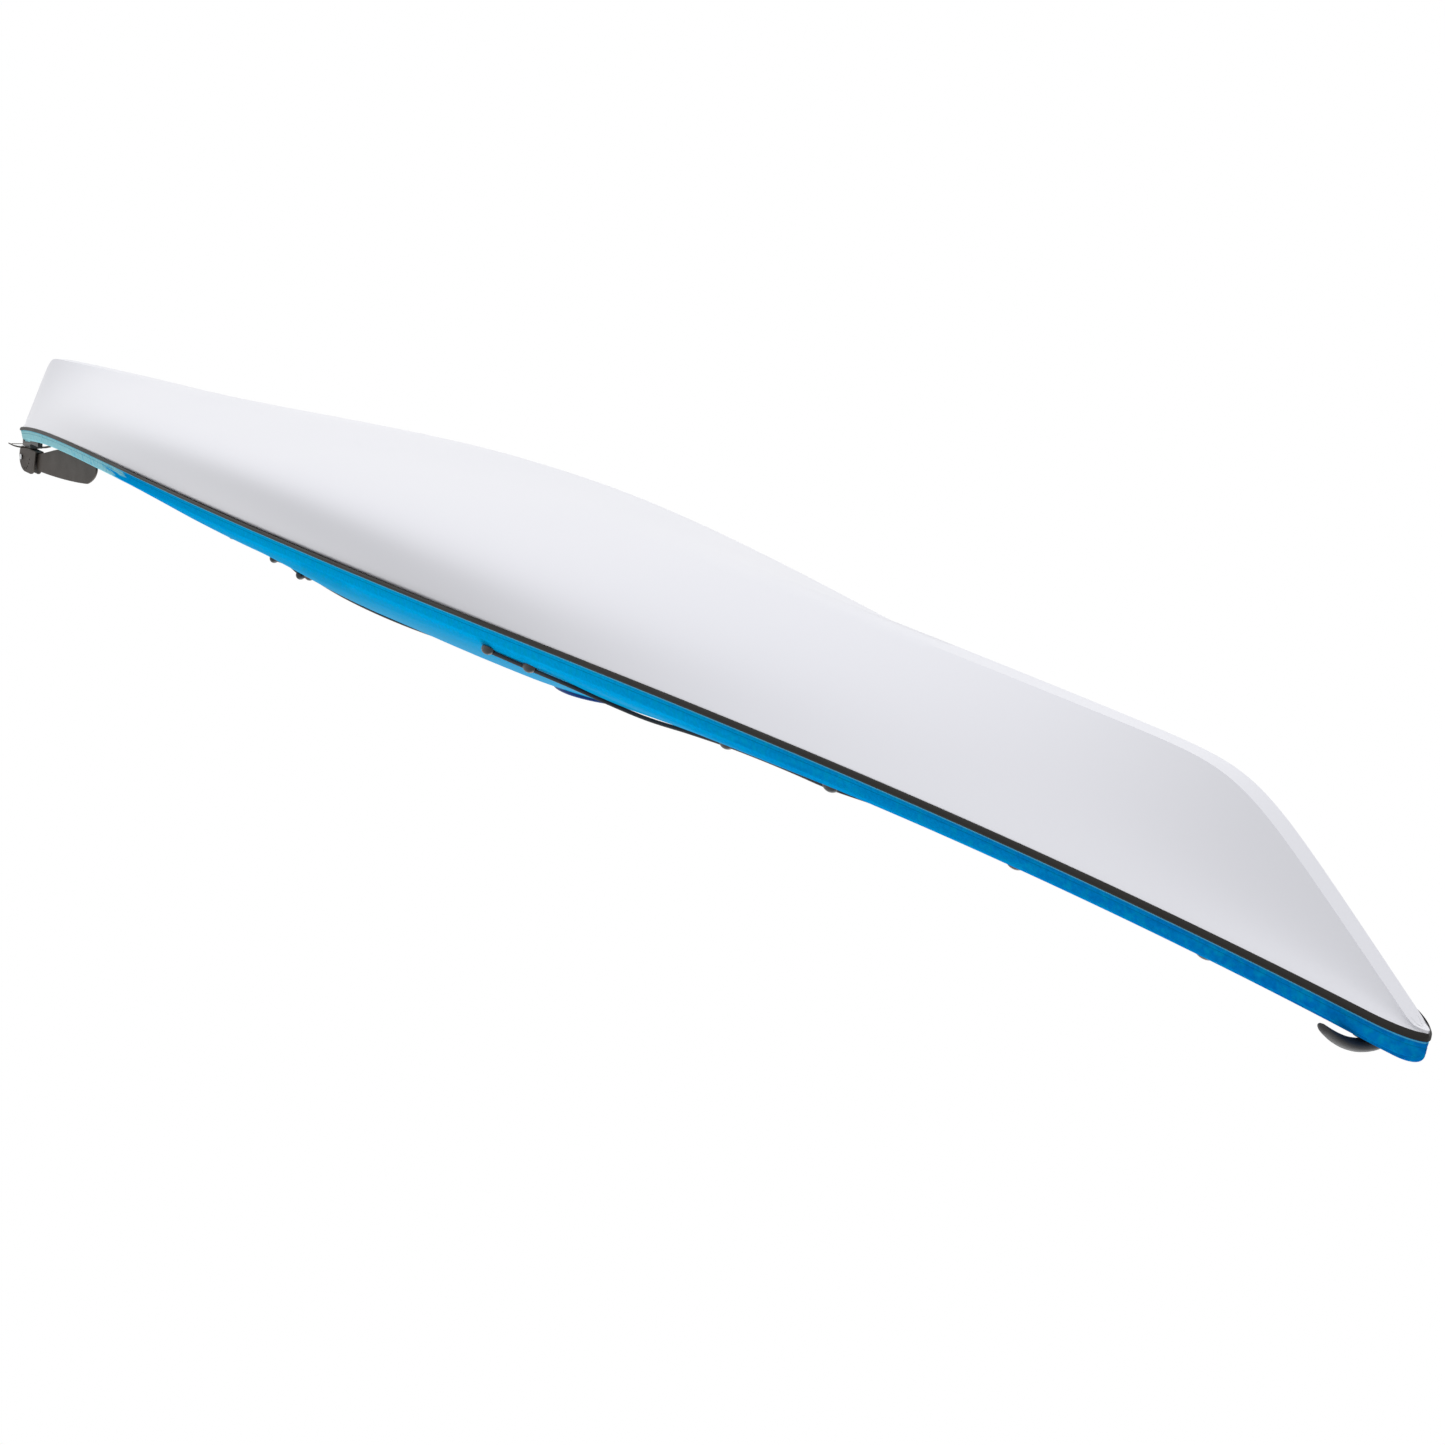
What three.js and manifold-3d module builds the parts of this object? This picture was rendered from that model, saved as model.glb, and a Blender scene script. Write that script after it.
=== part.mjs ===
// Touring kayak: a white hull shell and a blue deck shell joined by a seam strip, with a cockpit, three
// hatches, deck rigging and a rudder stowed forward on the stern deck.
// Millimetres. +X points to the bow, +Y to port, +Z up. The origin is on the keel's flat at mid length.
import * as THREE from 'three';
import { mergeVertices } from 'three/addons/utils/BufferGeometryUtils.js';
import Module from 'manifold-3d';

const wasm = await Module();
wasm.setup();

// Driving dimensions of the hull lines
const hullLength = 4600;
const seamHalfBeam = 279;
const seamHeightMid = 137.4;
const seamRiseBow = 113.3;
const seamRiseStern = 105.7;
const rockerBow = 69;
const rockerStern = 54.5;
const stemRake = 367.5;
const sternRake = 258.3;
const stemRounding = 22.2;
const sternRounding = 13.5;
const noseHalfWidth = 19.3;
const noseLength = 50;
const noseDepth = 7;
const keelHalfFlat = 22;
const keelFlatDepth = 0.9;
const stemHalfFlat = 10;
const widestShare = 0.489;
const sternFullness = 2.108;
const bowFullness = 2.493;
const sheerCurveStern = 2.974;
const sheerCurveBow = 3.773;
const rockerCurve = 1.869;

// Where the soft chine lies: share of the length, share of the seam half width, share of the section height
const chineShares = [
  [0, 0.548, 0.756],
  [0.2, 0.924, 0.337],
  [0.48, 1.272, -0.02],
  [0.8, 0.767, 0.444],
  [1, 0.41, 0.787],
];
const bottomPullShare = 0.88;
const sidePullShare = 0.8;

// Shells, seam and deck
const shellWall = 5;
const fitGap = 0.3;
const overrun = 40;
const seatDepth = 16;
const mergeDistance = 1e-4;
const stationCount = 15;
const sectionSteps = 8;
const hollowStations = 10;
const hollowSteps = 6;
const tipLength = 1;
const hollowFromEnd = 120;
const bandHeight = 27.6;
const bandLean = 5;
const bandCorner = 8;
const bandCreaseShare = 0.55;
const noseDropLength = 28;
const noseDropShare = 0.5;
const crownHeight = 97;
const seamStripHeight = 8;
const seamStripThick = 2;
const seamWebThick = 1.4;
const seamWebDepth = 4.4;
const seamEase = 0.7;

// Crown of the deck: share of the length, share of the crown height, roundness of the cross curve
const crownShares = [
  [0, 0.05, 2],
  [0.1, 0.12, 2],
  [0.2, 0.26, 2.1],
  [0.3, 0.43, 2.2],
  [0.4, 0.5, 4.2],
  [0.46, 0.49, 5],
  [0.52, 0.64, 5],
  [0.58, 0.84, 3.2],
  [0.64, 1, 2.1],
  [0.7, 0.82, 1.9],
  [0.75, 0.6, 2.2],
  [0.8, 0.42, 2.6],
  [0.88, 0.22, 2.2],
  [1, 0.07, 1.8],
];

// Cockpit and its coaming
const cockpitX = 42;
const cockpitHalfLength = 395;
const cockpitHalfWidth = 164;
const cockpitTaperShare = 0.1;
const collarWall = 3.5;
const collarDepth = 15;
const coamingRise = 5.5;
const coamingLip = 16;
const coamingLipThick = 3;

// Hatches: half sizes of each opening, how deep its frame is sunk below the ridge of the deck, and the fit
// of rim, seal and cover
const rearHatch = { halfLength: 205, halfWidth: 112, sink: 10 };
const dayHatch = { halfLength: 112, halfWidth: 84, sink: 19 };
const frontHatch = { halfLength: 140, halfWidth: 80, sink: 14 };
const rearHatchGap = 185;
const dayHatchGap = 151;
const frontHatchGap = 85;
const hatchLedge = 14;
const hatchWallDepth = 16;
const rimFlange = 3;
const rimCollar = 3;
const rimCollarDepth = 12;
const sealWidth = 4;
const sealHeight = 3.4;
const coverHeight = 14;
const coverWall = 3.5;
const podDepth = 84;

// Bulkheads
const bulkheadThick = 6;
const bulkheadGap = 0.95;
const rearBulkheadX = -0.1087 * hullLength;
const frontBulkheadX = 0.2402 * hullLength;

// Seat
const seatX = -95;
const seatLength = 390;
const seatHalfWidth = 186;
const seatThick = 5;
const seatBase = 24;
const seatSideRise = 72;
const seatRearRise = 26;
const seatFrontRise = 30;
const skidWidth = 40;
const skidSpacing = 170;
const cushionThick = 20;
const cushionCrown = 7;
const cushionHalfWidth = 150;
const cushionLength = 330;
const backrestHeight = 105;
const backrestHalfWidth = 118;
const backrestCurve = 42;
const backrestThick = 4;
const backPadThick = 22;
const backrestHingeRise = 58;
const backrestPinRadius = 3;
const earThick = 6;
const earSpacing = 150;

// Thigh braces under the coaming
const braceReach = 48;
const braceDrop = 36;
const braceThick = 4;
const braceFirst = 4;
const braceLast = 8;

// Foot rails, pedals and rudder lines
const railGap = 145;
const railLength = 340;
const railHeight = 28;
const railDepth = 12;
const railWall = 2.4;
const railStandOff = 5;
const railZ = 96;
const pedalHeight = 118;
const pedalReach = 68;
const pedalThick = 9;
const pedalStandOff = 12;
const carriageLength = 46;
const cableRadius = 1.2;
const cableBore = 2;
const tubeRadius = 2.8;
const tubeBelowSeam = 14;
const tubeFromSide = 9;
const cableTravel = 27.3;
const guideLength = 62;
const pedalCableReach = 150;
const tubeStraight = 80;
const tubeLeadIn = 170;
const tubeLeadOut = 240;

// Rudder at the stern
const swivelInset = 45;
const pivotX = -hullLength / 2;
const swivelX = pivotX + swivelInset;
const pivotZ = 312;
const pintleRadius = 5;
const pintleTubeRadius = 9;
const pintleDepth = 66;
const mountTopZ = 281;
const mountLength = 62;
const mountWidth = 30;
const yokeHalfSpan = 52;
const yokeThick = 3;
const yokeDroop = 9;
const yokeHubRadius = 18;
const headBlockHeight = 4.5;
const cheekThick = 3;
const cheekHeight = 62;
const cheekLength = 131;
const headHalfWidth = 7;
const cheekHoles = 5;
const cheekHoleRadius = 2.6;
const bladeLength = 546;
const bladeThick = 5;
const bladeHubRadius = 18;
const bladeTopRise = 20;
const bladeChord = 86;
const boltRadius = 4;
const boltHeadRadius = 7;
const boltHeadThick = 4;
const restFromTip = 61;
const restLength = 60;
const restWidth = 34;

// Carry handles
const bowHandleInset = 75;
const sternHandleGap = 94;
const handleHalfSpan = 62;
const handleDroop = 24;
const handleSweep = 8;
const gripHalfWidth = 10;
const gripHalfThick = 7;
const handleRise = 10;
const handlePostRadius = 5;
const handlePostDepth = 34;
const handleBaseLength = 40;
const handleBaseWidth = 26;
const handleBaseRise = 3;

// Deck lines, bungees and their fittings
const lineRadius = 3;
const bungeeRadius = 3;
const fittingLength = 34;
const fittingWidth = 15;
const fittingHeight = 10;
const beadRadius = 8;

// Places that follow from the sizes above
const cockpitAft = cockpitX - cockpitHalfLength;
const bowHandleX = hullLength / 2 - bowHandleInset;
const sternHandleX = pivotX + bladeLength + sternHandleGap;
const restX = pivotX + bladeLength - restFromTip;
const railX = frontBulkheadX - railGap - railLength / 2;
rearHatch.x = sternHandleX + rearHatchGap + rearHatch.halfLength;
dayHatch.x = cockpitX + cockpitHalfLength + dayHatchGap + dayHatch.halfLength;
frontHatch.x = frontBulkheadX + frontHatchGap + frontHatch.halfLength;

// Finishes: colour, roughness, metalness
const finishes = {
  hullWhite: [0xe4e5ea, 0.25, 0],
  deckBlue: [0x0a8fd8, 0.25, 0],
  coverNavy: [0x0b4f9c, 0.4, 0],
  seamBlack: [0x33322f, 0.5, 0],
  blackPlastic: [0x1f2022, 0.5, 0],
  blackRubber: [0x17181a, 0.75, 0],
  foamGrey: [0x3a3d42, 0.9, 0],
  cordBlack: [0x16171a, 0.85, 0],
  greyAluminium: [0x57534f, 0.45, 0.7],
  steel: [0xb9bcc0, 0.3, 1],
  innerGrey: [0xc9ccd0, 0.5, 0],
};

const part = new THREE.Group();
part.name = 'touring_kayak';

// Solids from rings of points, and back to geometry

// Facing points of a ring are its first and last, its second and last but one, and so on
function loft(rings, closed = false) {
  const size = rings[0].length;
  const faces = [];
  const last = closed ? rings.length : rings.length - 1;
  for (let ring = 0; ring < last; ring += 1) {
    const near = ring * size;
    const far = ((ring + 1) % rings.length) * size;
    for (let index = 0; index < size; index += 1) {
      const next = (index + 1) % size;
      if (index < size / 2) {
        faces.push(near + index, near + next, far + next, near + index, far + next, far + index);
      } else {
        faces.push(near + index, near + next, far + index, near + next, far + next, far + index);
      }
    }
  }
  if (!closed) {
    const end = (rings.length - 1) * size;
    for (let index = 0; index < size / 2 - 1; index += 1) {
      const facing = size - 1 - index;
      faces.push(index, facing, index + 1, index + 1, facing, facing - 1);
      faces.push(end + index, end + index + 1, end + facing);
      faces.push(end + index + 1, end + facing - 1, end + facing);
    }
  }
  return solidFrom(rings.flat().flatMap((point) => [point.x, point.y, point.z]), faces);
}

function solidOf(geometry) {
  const bare = geometry.clone();
  bare.deleteAttribute('normal');
  bare.deleteAttribute('uv');
  const merged = mergeVertices(bare, mergeDistance);
  return solidFrom(merged.attributes.position.array, merged.index.array);
}

function solidFrom(positions, faces) {
  const vertProperties = new Float32Array(positions);
  const triVerts = new Uint32Array(faces);
  let volume = 0;
  const corner = [new THREE.Vector3(), new THREE.Vector3(), new THREE.Vector3()];
  for (let index = 0; index < triVerts.length; index += 3) {
    corner.forEach((point, k) => point.fromArray(vertProperties, triVerts[index + k] * 3));
    volume += corner[0].dot(corner[1].clone().cross(corner[2]));
  }
  if (volume < 0) {
    for (let index = 0; index < triVerts.length; index += 3) {
      [triVerts[index], triVerts[index + 1]] = [triVerts[index + 1], triVerts[index]];
    }
  }
  return new wasm.Manifold(new wasm.Mesh({ numProp: 3, vertProperties, triVerts }));
}

function geometryOf(solid) {
  const { vertProperties, triVerts } = solid.getMesh();
  const geometry = new THREE.BufferGeometry();
  geometry.setAttribute('position', new THREE.BufferAttribute(new Float32Array(vertProperties), 3));
  geometry.setIndex(new THREE.BufferAttribute(new Uint32Array(triVerts), 1));
  geometry.computeVertexNormals();
  return geometry;
}

function addPiece(name, solid, finish, holder = part) {
  const [color, roughness, metalness] = finishes[finish];
  const material = new THREE.MeshStandardMaterial({ color, roughness, metalness });
  const piece = new THREE.Mesh(geometryOf(solid), material);
  piece.name = name;
  holder.add(piece);
  return piece;
}

function unite(first, ...others) {
  return others.reduce((whole, solid) => whole.add(solid), first);
}

function cut(first, ...others) {
  return others.reduce((whole, solid) => whole.subtract(solid), first);
}

function placed(solid, matrix) {
  const { vertProperties, triVerts } = solid.getMesh();
  const geometry = new THREE.BufferGeometry();
  geometry.setAttribute('position', new THREE.BufferAttribute(new Float32Array(vertProperties), 3));
  geometry.applyMatrix4(matrix);
  return solidFrom(geometry.attributes.position.array, triVerts);
}

function block(lengthX, widthY, heightZ, x, y, z) {
  return solidOf(new THREE.BoxGeometry(lengthX, widthY, heightZ).translate(x, y, z));
}

function rod(radius, length, sides, axis, x, y, z) {
  const geometry = new THREE.CylinderGeometry(radius, radius, length, sides);
  if (axis === 'x') geometry.rotateZ(Math.PI / 2);
  if (axis === 'z') geometry.rotateX(Math.PI / 2);
  return solidOf(geometry.translate(x, y, z));
}

// A flat plate whose outline is drawn in X and Z and whose thickness runs along Y
function uprightPlate(shape, thick, y) {
  const geometry = new THREE.ExtrudeGeometry(shape, { depth: thick, bevelEnabled: false, curveSegments: 6 });
  return solidOf(geometry.rotateX(Math.PI / 2).translate(0, y + thick / 2, 0));
}

function sweep(points, radius, sides, steps) {
  const section = new THREE.Shape();
  for (let side = 0; side < sides; side += 1) {
    const angle = (side / sides) * 2 * Math.PI;
    const across = radius * Math.cos(angle);
    const up = radius * Math.sin(angle);
    if (side === 0) section.moveTo(across, up);
    else section.lineTo(across, up);
  }
  const path = new THREE.CatmullRomCurve3(points, false, 'centripetal');
  return solidOf(new THREE.ExtrudeGeometry(section, { steps, extrudePath: path, bevelEnabled: false }));
}

// A smooth curve through a table of [share, value, ...] rows that doesn't overshoot between them
function throughTable(table, column) {
  const xs = table.map((row) => row[0]);
  const ys = table.map((row) => row[column]);
  const slopes = [];
  for (let index = 0; index < xs.length - 1; index += 1) {
    slopes.push((ys[index + 1] - ys[index]) / (xs[index + 1] - xs[index]));
  }
  const tangents = xs.map((x, index) => {
    if (index === 0) return slopes[0];
    if (index === xs.length - 1) return slopes[index - 1];
    const before = slopes[index - 1];
    const after = slopes[index];
    return before * after <= 0 ? 0 : (2 * before * after) / (before + after);
  });
  return (share) => {
    const at = Math.min(Math.max(share, xs[0]), xs[xs.length - 1]);
    let index = 0;
    while (index < xs.length - 2 && at > xs[index + 1]) index += 1;
    const span = xs[index + 1] - xs[index];
    const t = (at - xs[index]) / span;
    const first = (1 + 2 * t) * (1 - t) ** 2 * ys[index] + t * (1 - t) ** 2 * span * tangents[index];
    const second = t * t * (3 - 2 * t) * ys[index + 1] + t * t * (t - 1) * span * tangents[index + 1];
    return first + second;
  };
}

// Hull lines

const halfLength = hullLength / 2;
const shareAt = (x) => x / hullLength + 1 / 2;
const fromMidShare = (x) => Math.abs(x) / halfLength;
const chineBreadth = throughTable(chineShares, 1);
const chineHeight = throughTable(chineShares, 2);
const crownLevel = throughTable(crownShares, 1);
const crownRoundness = throughTable(crownShares, 2);

function seamHalfWidth(x) {
  const share = shareAt(x);
  const aft = share < widestShare;
  const run = aft ? (widestShare - share) / widestShare : (share - widestShare) / (1 - widestShare);
  const body = seamHalfBeam * (1 - run ** (aft ? sternFullness : bowFullness));
  const fromEnd = Math.min((halfLength - Math.abs(x)) / noseLength, 1);
  return Math.max(body, 0) + noseHalfWidth * Math.sqrt(Math.max(1 - (1 - fromEnd) ** 2, 0)) * run ** 3;
}

function seamHeight(x) {
  const rise = x < 0 ? seamRiseStern : seamRiseBow;
  return seamHeightMid + rise * fromMidShare(x) ** (x < 0 ? sheerCurveStern : sheerCurveBow);
}

function softMax(a, b, softness) {
  return softness * Math.log(Math.exp(a / softness) + Math.exp(b / softness));
}

function keelHeight(x) {
  const rocker = (x < 0 ? rockerStern : rockerBow) * fromMidShare(x) ** rockerCurve;
  const stemLine = ((seamHeightMid + seamRiseBow) * (x - (halfLength - stemRake))) / stemRake;
  const sternLine = ((seamHeightMid + seamRiseStern) * (sternRake - halfLength - x)) / sternRake;
  const withStem = softMax(rocker, stemLine, stemRounding);
  const bottom = Math.max(softMax(withStem, sternLine, sternRounding) - keelFlatDepth, 0);
  return Math.min(bottom, seamHeight(x) - noseDepth);
}

// Port half of a hull section from the keel's flat out to the seam, moved inwards by the inset
function hullSection(x, inset = 0, steps = 9) {
  const seamY = seamHalfWidth(x);
  const seamZ = seamHeight(x);
  const keelZ = keelHeight(x);
  const flat = Math.min(stemHalfFlat + (keelHalfFlat - stemHalfFlat) * (1 - fromMidShare(x) ** 2), seamY / 2);
  const chineY = chineBreadth(shareAt(x)) * seamY;
  const chineZ = keelZ + chineHeight(shareAt(x)) * (seamZ - keelZ);
  const curve = new THREE.CubicBezierCurve(
    new THREE.Vector2(flat, keelZ),
    new THREE.Vector2(flat + bottomPullShare * (chineY - flat), keelZ + bottomPullShare * (chineZ - keelZ)),
    new THREE.Vector2(seamY + sidePullShare * (chineY - seamY), seamZ + sidePullShare * (chineZ - seamZ)),
    new THREE.Vector2(seamY, seamZ),
  );
  const points = [];
  for (let step = 0; step <= steps; step += 1) {
    const point = curve.getPoint(step / steps);
    const along = curve.getTangent(step / steps);
    const y = Math.max(point.y === keelZ && step === 0 ? flat - inset / 2 : point.x - inset * along.y, 1);
    const z = step === 0 ? keelZ + inset : point.y + inset * along.x;
    points.push(new THREE.Vector2(y, Math.max(z, keelZ + inset)));
  }
  return points;
}

function ringOf(x, half) {
  const port = half.map((point) => new THREE.Vector3(x, point.x, point.y));
  const starboard = half.map((point) => new THREE.Vector3(x, -point.x, point.y)).reverse();
  return [...port, ...starboard];
}

// Stations crowd towards both ends
function stations(count, fromEnd) {
  const list = [];
  const power = 2.2;
  for (let index = 0; index <= count; index += 1) {
    list.push(-halfLength + fromEnd + (halfLength - fromEnd) * (index / count) ** power);
  }
  return [...list, ...list.slice(0, -1).reverse().map((x) => -x)];
}

function hullBody(inset, places, raise, drop) {
  return loft(places.map((x) => {
    const half = hullSection(x, inset, inset > 0 ? hollowSteps : sectionSteps);
    const top = half[half.length - 1];
    if (raise > 0) half.push(new THREE.Vector2(top.x, seamHeight(x) + raise));
    const low = keelHeight(x);
    const shrink = (seamHeight(x) - drop - low) / (seamHeight(x) - low);
    return ringOf(x, half.map((point) => new THREE.Vector2(point.x, low + (point.y - low) * shrink)));
  }));
}

// Deck lines

function noseDrop(x) {
  const fromEnd = Math.min((halfLength - Math.abs(x)) / noseDropLength, 1);
  return noseDropShare + (1 - noseDropShare) * Math.sqrt(Math.max(1 - (1 - fromEnd) ** 2, 0));
}

const bandTop = (x) => seamHeight(x) + bandHeight * noseDrop(x);
const crownAt = (x) => crownHeight * crownLevel(shareAt(x)) * noseDrop(x);
const deckHalfWidth = (x) => Math.max(seamHalfWidth(x) - bandLean, seamHalfWidth(x) / 2);

function deckTop(x, y) {
  const across = Math.min(Math.abs(y) / deckHalfWidth(x), 1);
  return bandTop(x) + crownAt(x) * (1 - across ** crownRoundness(shareAt(x)));
}

const deckAcrossShares = [0.94, 0.82, 0.65, 0.42, 0.14];

function deckSection(x, inset, lower) {
  const seamY = seamHalfWidth(x);
  const edgeY = deckHalfWidth(x) - inset;
  const top = bandTop(x) - inset;
  const corner = Math.min(bandCorner, edgeY / 3);
  const seamZ = seamHeight(x);
  const creaseZ = seamZ + (top - corner - seamZ) * bandCreaseShare;
  const creaseY = seamY - inset - (seamY - inset - edgeY) * bandCreaseShare;
  const half = [new THREE.Vector2(seamY - inset, seamZ + lower), new THREE.Vector2(creaseY, creaseZ)];
  half.push(new THREE.Vector2(edgeY, top - corner));
  deckAcrossShares.forEach((share) => {
    const y = Math.min(share * edgeY, edgeY - corner * share);
    half.push(new THREE.Vector2(y, deckTop(x, (y * deckHalfWidth(x)) / edgeY) - inset));
  });
  return half;
}

function deckBody(inset, places, lower) {
  return loft(places.map((x) => ringOf(x, deckSection(x, inset, lower))));
}

const seamClearance = seamWebThick / 2 + fitGap;
const outerPlaces = stations(stationCount, tipLength);
const bulkheadPlaces = [rearBulkheadX, frontBulkheadX];
const innerPlaces = [...stations(hollowStations, hollowFromEnd), ...bulkheadPlaces].sort((a, b) => a - b);
const hullOuter = hullBody(0, outerPlaces, 0, seamClearance);
const deckOuter = deckBody(0, outerPlaces, seamClearance);
const deckCover = deckBody(-fitGap, outerPlaces, seamClearance - fitGap);

function cavity(inset, raise) {
  return {
    lower: hullBody(inset, innerPlaces, raise, 0),
    upper: deckBody(inset, innerPlaces, 0),
  };
}

const hollow = cavity(shellWall, overrun);
const fitHollow = cavity(shellWall + fitGap, fitGap);
const inside = unite(fitHollow.lower, fitHollow.upper);

// Greatest half width inside the hull over a span of heights
function innerHalfWidth(x, lowZ, highZ) {
  const half = hullSection(x, shellWall + fitGap, 40).filter((point) => point.y >= lowZ && point.y <= highZ);
  return Math.min(...half.map((point) => point.x));
}

// Rudder line route, shared by the deck, the rear bulkhead and the tube itself

const yokeEyeZ = mountTopZ + fitGap + yokeThick - yokeDroop;
const guideX = swivelX + 146;
const guideY = 45;
const guideZ = deckTop(guideX, guideY) + tubeRadius + 3.4;
const yokeEyeX = swivelX;

function cableLine() {
  const from = new THREE.Vector3(yokeEyeX + 7, yokeHalfSpan, yokeEyeZ - yokeThick / 2);
  const to = new THREE.Vector3(guideX, guideY, guideZ);
  return { from, to, along: to.clone().sub(from).normalize() };
}

function railFrame(side) {
  const low = railZ - railHeight / 2;
  const high = railZ + railHeight / 2;
  const aftX = railX - railLength / 2;
  const foreX = railX + railLength / 2;
  const aft = new THREE.Vector3(aftX, innerHalfWidth(aftX, low, high), railZ);
  const fore = new THREE.Vector3(foreX, innerHalfWidth(foreX, low, high), railZ);
  const turn = Math.atan2(fore.y - aft.y, fore.x - aft.x);
  const centre = aft.clone().add(fore).multiplyScalar(1 / 2);
  centre.y -= (railDepth / 2 + railStandOff) / Math.cos(turn);
  return { centre: new THREE.Vector3(centre.x, side * centre.y, railZ), turn: side * turn };
}

function gunwalePoint(x) {
  const z = seamHeight(x) - tubeBelowSeam;
  const y = innerHalfWidth(x, z - 2 * tubeRadius, z + 2 * tubeRadius) - tubeRadius - tubeFromSide;
  return new THREE.Vector3(x, y, z);
}

function tubeRoute() {
  const { to, along } = cableLine();
  const guideEnd = to.clone().addScaledVector(along, guideLength);
  const frame = railFrame(1);
  const railAlong = new THREE.Vector3(Math.cos(frame.turn), Math.sin(frame.turn), 0);
  const mouth = frame.centre.clone().addScaledVector(railAlong, -carriageLength / 2 - pedalCableReach);
  const points = [guideEnd.clone().addScaledVector(along, -4)];
  points.push(guideEnd.clone().add(new THREE.Vector3(22, 1, -9)));
  points.push(guideEnd.clone().add(new THREE.Vector3(62, 12, -30)));
  const firstX = guideEnd.x + tubeLeadIn;
  const lastX = mouth.x - tubeStraight - tubeLeadOut;
  const runs = 9;
  for (let run = 0; run <= runs; run += 1) {
    points.push(gunwalePoint(firstX + ((lastX - firstX) * run) / runs));
  }
  points.push(mouth.clone().addScaledVector(railAlong, -tubeStraight - 40));
  points.push(mouth.clone().addScaledVector(railAlong, -tubeStraight));
  points.push(mouth);
  return points;
}

function mirrored(points) {
  return points.map((point) => new THREE.Vector3(point.x, -point.y, point.z));
}

const tubePoints = tubeRoute();
const tubeSteps = 26;
const tubeSides = 6;
const tubePassage = sweep(tubePoints, tubeRadius + 2 * fitGap, tubeSides, tubeSteps);
const tubePassageStarboard = sweep(mirrored(tubePoints), tubeRadius + 2 * fitGap, tubeSides, tubeSteps);

// Hull shell

const pintleHole = rod(pintleTubeRadius + fitGap, pintleDepth + overrun, 16, 'z', swivelX, 0,
  mountTopZ - (pintleDepth + overrun) / 2 + overrun - fitGap);
addPiece('hull_shell', cut(hullOuter, hollow.lower, pintleHole), 'hullWhite');

// Cockpit outline, grown outwards by the reach

function cockpitPoint(angle, reach) {
  const x = cockpitX + (cockpitHalfLength + reach) * Math.cos(angle);
  const y = (cockpitHalfWidth + reach) * Math.sin(angle) * (1 - cockpitTaperShare * Math.cos(angle));
  return new THREE.Vector2(x, y);
}

const cockpitSides = 40;
const cockpitAngle = (index) => (index / cockpitSides) * 2 * Math.PI;

function coamingHeight(angle) {
  const seat = cockpitPoint(angle, coamingLip / 2);
  return deckTop(seat.x, seat.y);
}

function cockpitPrism(reach, low, high) {
  const rings = [low, high].map((z) => {
    const ring = [];
    for (let index = 0; index < cockpitSides; index += 1) {
      const point = cockpitPoint(cockpitAngle(index), reach);
      ring.push(new THREE.Vector3(point.x, point.y, z));
    }
    return ring;
  });
  return loft(rings);
}

// Hatch frames are sunk a little below the ridge of the deck and follow its slope

function hatchMatrix(hatch) {
  const fore = deckTop(hatch.x + hatch.halfLength, 0);
  const aft = deckTop(hatch.x - hatch.halfLength, 0);
  const pitch = -Math.atan2(fore - aft, 2 * hatch.halfLength);
  const middle = Math.max(deckTop(hatch.x, 0), (fore + aft) / 2);
  return new THREE.Matrix4()
    .makeTranslation(hatch.x, 0, middle - hatch.sink)
    .multiply(new THREE.Matrix4().makeRotationY(pitch));
}

const hatchSides = 18;

function ellipseRing(hatch, reach, z) {
  const ring = [];
  for (let index = 0; index < hatchSides; index += 1) {
    const angle = (index / hatchSides) * 2 * Math.PI;
    const x = (hatch.halfLength + reach) * Math.cos(angle);
    ring.push(new THREE.Vector3(x, (hatch.halfWidth + reach) * Math.sin(angle), z));
  }
  return ring;
}

function ellipseStack(hatch, levels) {
  return loft(levels.map(([reach, z]) => ellipseRing(hatch, reach, z)));
}

function ellipseHoop(hatch, profile) {
  const rings = [];
  for (let index = 0; index < hatchSides; index += 1) {
    rings.push(profile.map(([reach, z]) => ellipseRing(hatch, reach, z)[index]));
  }
  return loft(rings, true);
}

// Deck shell with its sunk hatch frames and openings

const handlePlaces = [bowHandleX, sternHandleX];

function handlePostHole(x) {
  const top = deckTop(x, 0) + overrun / 2;
  const bottom = deckTop(x, 0) + handleRise - gripHalfThick - handlePostDepth;
  return rod(handlePostRadius + fitGap, top - bottom + 1, 12, 'z', x, 0, (top + bottom - 1) / 2);
}

function makeDeckShell() {
  const hatches = [rearHatch, dayHatch, frontHatch];
  const stack = (hatch, reach, low, high) => placed(
    ellipseStack(hatch, [[reach, low], [reach, high]]), hatchMatrix(hatch));
  const recess = hatchLedge + 2 * fitGap;
  const wall = recess + shellWall;
  const walls = hatches.flatMap((hatch) => [
    stack(hatch, wall, -hatchWallDepth, 0),
    stack(hatch, wall, -hatchWallDepth, overrun).intersect(deckOuter),
  ]);
  const undersides = hatches.map((hatch) => stack(hatch, recess, -hatchWallDepth - overrun, -shellWall));
  const recesses = hatches.map((hatch) => stack(hatch, recess, 0, overrun));
  const mouths = hatches.map((hatch) => stack(hatch, 0, -overrun, overrun));
  const openings = [
    cockpitPrism(collarWall + fitGap, seamHeightMid, seamHeightMid * 3),
    pintleHole,
    ...handlePlaces.map(handlePostHole),
    tubePassage,
    tubePassageStarboard,
  ];
  const shell = unite(deckOuter.subtract(hollow.upper), ...walls);
  return cut(shell, ...undersides, ...recesses, ...mouths, ...openings);
}

addPiece('deck_shell', makeDeckShell(), 'deckBlue');

// Seam strip: a band over both edges with a web between them, all round the boat

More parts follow.
